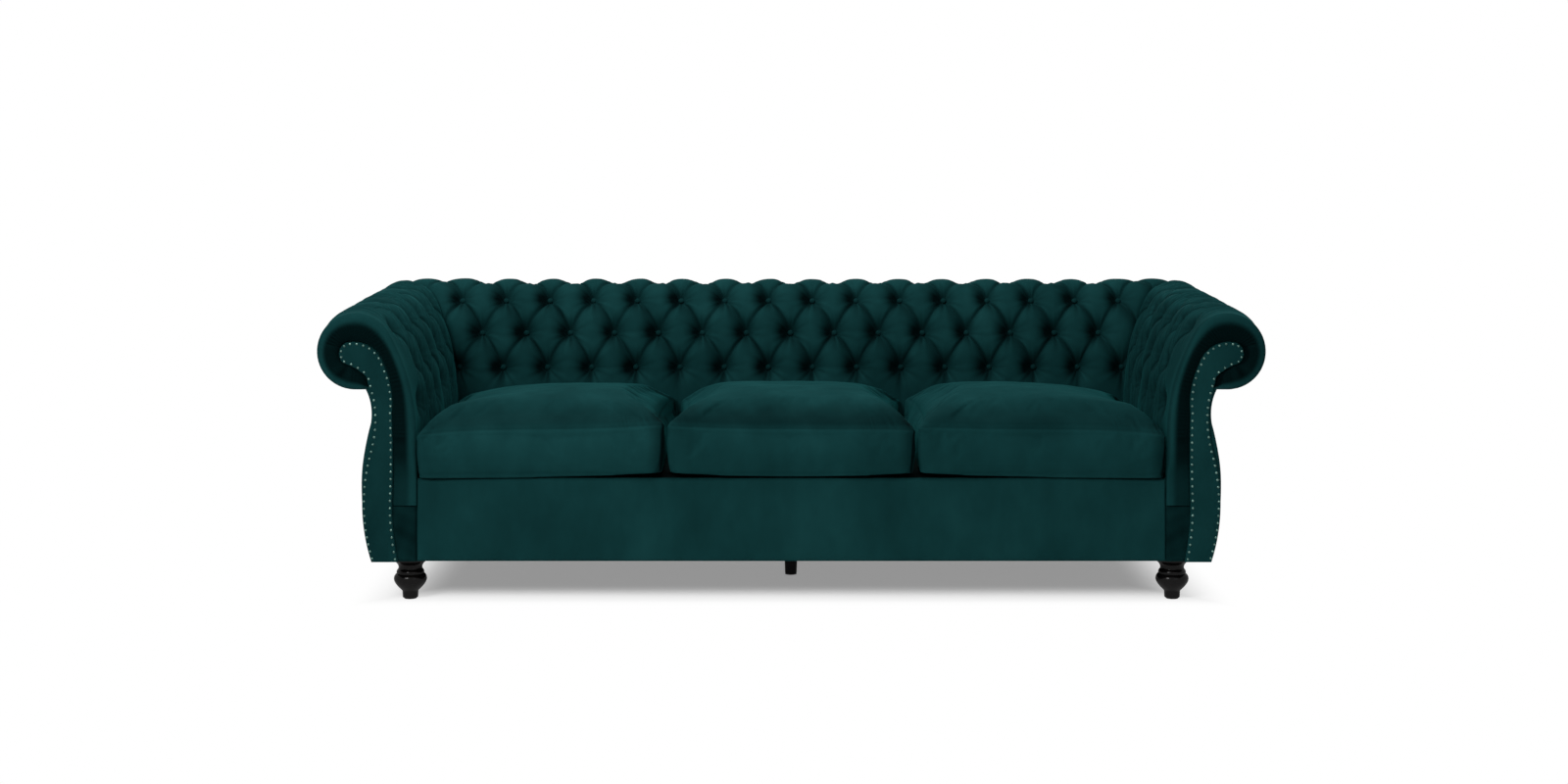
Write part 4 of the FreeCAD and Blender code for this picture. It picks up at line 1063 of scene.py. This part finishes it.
# side, height of the crown, lift of the front's bottom corners, tilt of its seam at the corners,
# the ridge's place across, the two flanks, and the strength of the painted shade low on the front
CUSHIONS = (
    ("left", 0.468, (0.000, 0.015), (-0.014, 0.013), 0.25, (GENTLE, STEEP), 0.40),
    ("middle", 0.473, (0.015, 0.014), (0.010, -0.001), -0.05, (EVEN, EVEN), 0.58),
    ("right", 0.471, (0.014, 0.001), (0.006, -0.012), -0.30, (STEEP, GENTLE), 0.38),
)
for number, (side, crest, lift, tilt, ridge, flanks, nap) in enumerate(CUSHIONS):
    low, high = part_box("seat_cushion_" + side)
    room_low = Vector((low.x, low.y - FRONT_BULGE, low.z))
    room_high = Vector((high.x, high.y, crest))
    shape = (lift, (ridge, RIDGE_DEPTH), flanks)
    cushion = crowned_blank("cushion_cover_" + side, room_low, room_high, SEAM_HEIGHT, *shape)
    finish_modifier(cushion, "REMESH", mode="VOXEL", voxel_size=VOXEL)
    inflate(cushion, PRESSURE, MOST_SWELLING)
    finish_modifier(cushion, "SUBSURF", levels=1, render_levels=1)
    fitted(cushion, room_low, room_high, SEAM_HEIGHT, CORNERS_OUT)
    sewn(cushion, room_low, room_high, SEAM_HEIGHT, tilt, nap, 1.3 + 2.1 * number)
    smooth(cushion)
    dress(cushion, VELVET, "cushion_" + side)
    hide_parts("seat_cushion_" + side)
    foam_low, foam_high = low + FOAM_FROM_LOW, high - FOAM_FROM_HIGH
    foam_shape = ((0, 0), *shape[1:])
    foam = crowned_blank("foam_core_" + side, foam_low, foam_high, SEAM_HEIGHT - 0.02, *foam_shape)
    finish_modifier(foam, "BEVEL", width=0.004, segments=2)
    dress(smooth(foam, 50), FOAM, "cushion_" + side)
    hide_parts("cushion_core_" + side)


# Cloth under the frame


def dust_cloth():
    """Black cloth stapled under the frame, sagging a little between the rails."""
    low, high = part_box("dust_cover")
    piece, u, v = grid_piece("dust_cloth", 60, 24)
    sag = 0.003 * (1 - (2 * u - 1) ** 2) * (1 - (2 * v - 1) ** 2)
    x, y = low.x + u * (high.x - low.x), low.y + v * (high.y - low.y)
    set_points(piece, np.stack([x, y, high.z - sag], axis=1))
    finish_modifier(piece, "SOLIDIFY", thickness=0.0008, offset=-1.0)
    smooth(face_outwards(piece), 60)
    dress(piece, DECK_CLOTH)
    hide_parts("dust_cover")


dust_cloth()


# Feet, each a profile of radius and height

FOOT_PROFILE = (
    (0.0, 0.002), (0.0160, 0.002), (0.0172, 0.0030), (0.0178, 0.0048), (0.0180, 0.0120),
    (0.0182, 0.0165), (0.0190, 0.0188), (0.0225, 0.0222), (0.0272, 0.0268), (0.0312, 0.0315),
    (0.0349, 0.0368), (0.0372, 0.0418), (0.0379, 0.0465), (0.0371, 0.0512), (0.0346, 0.0555),
    (0.0324, 0.0575), (0.0311, 0.0582), (0.0313, 0.0592), (0.0318, 0.0608), (0.0315, 0.0635),
    (0.0300, 0.0665), (0.0281, 0.0688), (0.0273, 0.0705), (0.0271, 0.0730), (0.0278, 0.0765),
    (0.0300, 0.0806), (0.0335, 0.0843), (0.0375, 0.0872), (0.0394, 0.0884), (0.0400, 0.0900),
    (0.0400, 0.0955), (0.0396, 0.0960), (0.0, 0.0960),
)
CENTRE_PROFILE = ((0.0, 0.002), (0.0130, 0.002), (0.0142, 0.0032), (0.0175, 0.0960), (0.0, 0.0960))


def turned_foot(name, x, y, profile=FOOT_PROFILE):
    """One turned foot: its profile spun about the upright axis."""
    deselect()
    bpy.ops.mesh.primitive_plane_add(size=0.001)
    piece = take(name)
    piece.data.clear_geometry()
    verts = [(radius, 0, height) for radius, height in profile]
    piece.data.from_pydata(verts, [(k, k + 1) for k in range(len(verts) - 1)], [])
    with editing(piece):
        bpy.ops.mesh.spin(steps=48, angle=2 * math.pi, center=(0, 0, 0), axis=(0, 0, 1))
        bpy.ops.mesh.select_all(action="SELECT")
        bpy.ops.mesh.remove_doubles(threshold=2e-5)
        bpy.ops.mesh.normals_make_consistent(inside=False)
    piece.data.transform(Matrix.Translation((x, y, 0)))
    return smooth(piece, 40)


def foot_centres(node):
    """Where the feet of a node stand."""
    low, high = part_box(node)
    y = (low.y + high.y) / 2
    widest = max(radius for radius, _ in FOOT_PROFILE)
    return [(low.x + widest, y), (high.x - widest, y)]


for node in ("front_feet", "rear_feet"):
    pair = [turned_foot(node + "_turned", x, y) for x, y in foot_centres(node)]
    feet = joined(pair, "turned_" + node)
    dress(feet, FOOT_WOOD)
    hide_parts(node)

low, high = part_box("centre_foot")
x, y, _ = (low + high) / 2
centre = turned_foot("plain_centre_foot", x, y, CENTRE_PROFILE)
dress(centre, FOOT_WOOD)
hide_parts("centre_foot")


# What stays as the model has it gets its material

FINISHES = {
    PLYWOOD: ("arm_front_board_", "arm_rear_board_", "back_rib"),
    FRAME_WOOD: ("arm_top_slat_", "arm_tack_slat_", "side_rail_", "back_top_slat", "back_tack_slat",
                 "front_rail", "back_rail", "corner_blocks", "centre_rail"),
    SPRING_STEEL: ("seat_springs",),
    ZINC: ("spring_clips", "foot_bolts", "foot_plates"),
    DECK_CLOTH: ("spring_cloth",),
    GLIDE: ("foot_glides",),
}
for finish, starts in FINISHES.items():
    for name, node in nodes.items():
        if name.startswith(starts):
            node.data.materials.clear()
            node.data.materials.append(finish)


# Room, lamps and camera

FLOOR_GLOW = 0.285
ROOM_LIGHT = 0.14
WHITE_FROM = {"X": (0.80, 1.02), "Y": (0.19, 0.46)}  # where the floor runs out into white

# The photo's camera: its picture in pixels, and its place
PHOTO_WIDTH = 1600
MIDDLE_ROW = 400
HORIZON_ROW = 150
FOCAL_LENGTH = 2316
CAMERA_PLACE = (-0.0167, -5.585, 1.040)


def reckoned(tree, operation, *factors):
    """One sum on factors, each a socket or a number."""
    node = tree.nodes.new("ShaderNodeMath")
    node.operation = operation
    for place, factor in zip(node.inputs, factors):
        if isinstance(factor, float):
            place.default_value = factor
        else:
            tree.links.new(factor, place)
    return node.outputs["Value"]


def seen_directly(tree):
    """1 for what the camera sees, straight or in metal and glass, and 0 for light on the object."""
    rays = tree.nodes.new("ShaderNodeLightPath").outputs
    seen = reckoned(tree, "MAXIMUM", rays["Is Camera Ray"], rays["Is Glossy Ray"])
    return reckoned(tree, "MAXIMUM", seen, rays["Is Transmission Ray"])


def glow(tree, factor, strength):
    """White light of a strength where the factor is 1."""
    emission = tree.nodes.new("ShaderNodeEmission")
    tree.links.new(reckoned(tree, "MULTIPLY", factor, strength), emission.inputs["Strength"])
    return emission.outputs["Emission"]


def room():
    """A pale floor that keeps the sofa's shadow and runs out into a white surround."""
    deselect()
    bpy.ops.mesh.primitive_plane_add(size=60, location=(0, 0, 0))
    floor = take("studio_floor")
    material, tree, shader, coordinates = new_material("pale_floor")
    shader.inputs["Base Color"].default_value = (0.80, 0.80, 0.80, 1)
    shader.inputs["Roughness"].default_value = 0.9
    shader.inputs["Specular IOR Level"].default_value = 0.1
    seen = seen_directly(tree)
    near = tree.nodes.new("ShaderNodeAddShader")
    tree.links.new(shader.outputs["BSDF"], near.inputs[0])
    tree.links.new(glow(tree, seen, FLOOR_GLOW), near.inputs[1])
    split = tree.nodes.new("ShaderNodeSeparateXYZ")
    tree.links.new(coordinates, split.inputs["Vector"])
    fades = []
    for axis, edges in WHITE_FROM.items():
        fade = tree.nodes.new("ShaderNodeMapRange")
        fade.interpolation_type = "SMOOTHSTEP"
        fade.inputs["From Min"].default_value, fade.inputs["From Max"].default_value = edges
        tree.links.new(reckoned(tree, "ABSOLUTE", split.outputs[axis]), fade.inputs["Value"])
        fades.append(fade.outputs["Result"])
    away = reckoned(tree, "MAXIMUM", *fades)
    mix = tree.nodes.new("ShaderNodeMixShader")
    tree.links.new(reckoned(tree, "MULTIPLY", away, seen), mix.inputs["Fac"])
    tree.links.new(near.outputs["Shader"], mix.inputs[1])
    tree.links.new(glow(tree, seen, 1.0), mix.inputs[2])
    tree.links.new(mix.outputs["Shader"], tree.nodes["Material Output"].inputs["Surface"])
    floor.data.materials.append(material)

    world = bpy.data.worlds.new("studio")
    bpy.context.scene.world = world
    world.use_nodes = True
    tree = world.node_tree
    background = tree.nodes["Background"]
    background.inputs["Color"].default_value = (1, 1, 1, 1)
    strength = span(tree, seen_directly(tree), ROOM_LIGHT, 1.0)
    tree.links.new(strength, background.inputs["Strength"])


def lamp(name, place, aim, size, power):
    """One soft rectangular lamp aimed at a point."""
    light = bpy.data.lights.new(name, "AREA")
    light.shape = "RECTANGLE"
    light.size, light.size_y = size
    light.energy = power
    holder = bpy.data.objects.new(name, light)
    bpy.context.scene.collection.objects.link(holder)
    holder.location = place
    holder.rotation_euler = (Vector(aim) - Vector(place)).to_track_quat("-Z", "Y").to_euler()
    return holder


def camera():
    """A level camera in front of the sofa, lowered in the frame by a small shift."""
    view = bpy.data.cameras.new("front_camera")
    view.sensor_width = 36
    view.lens = FOCAL_LENGTH / PHOTO_WIDTH * view.sensor_width
    view.shift_y = (HORIZON_ROW - MIDDLE_ROW) / PHOTO_WIDTH
    holder = bpy.data.objects.new("front_camera", view)
    bpy.context.scene.collection.objects.link(holder)
    holder.location = CAMERA_PLACE
    holder.rotation_euler = (math.radians(90), 0, 0)
    bpy.context.scene.camera = holder


room()
lamp("key_lamp", (-2.2, -3.9, 2.9), (0, 0, 0.35), (1.4, 1.4), 136)
lamp("fill_lamp", (2.2, -4.4, 1.8), (0, 0, 0.35), (2.2, 2.2), 8)
lamp("top_lamp", (-0.3, -0.3, 3.4), (0, 0, 0), (3.5, 1.4), 90)
camera()
bpy.context.scene.view_settings.view_transform = "Standard"
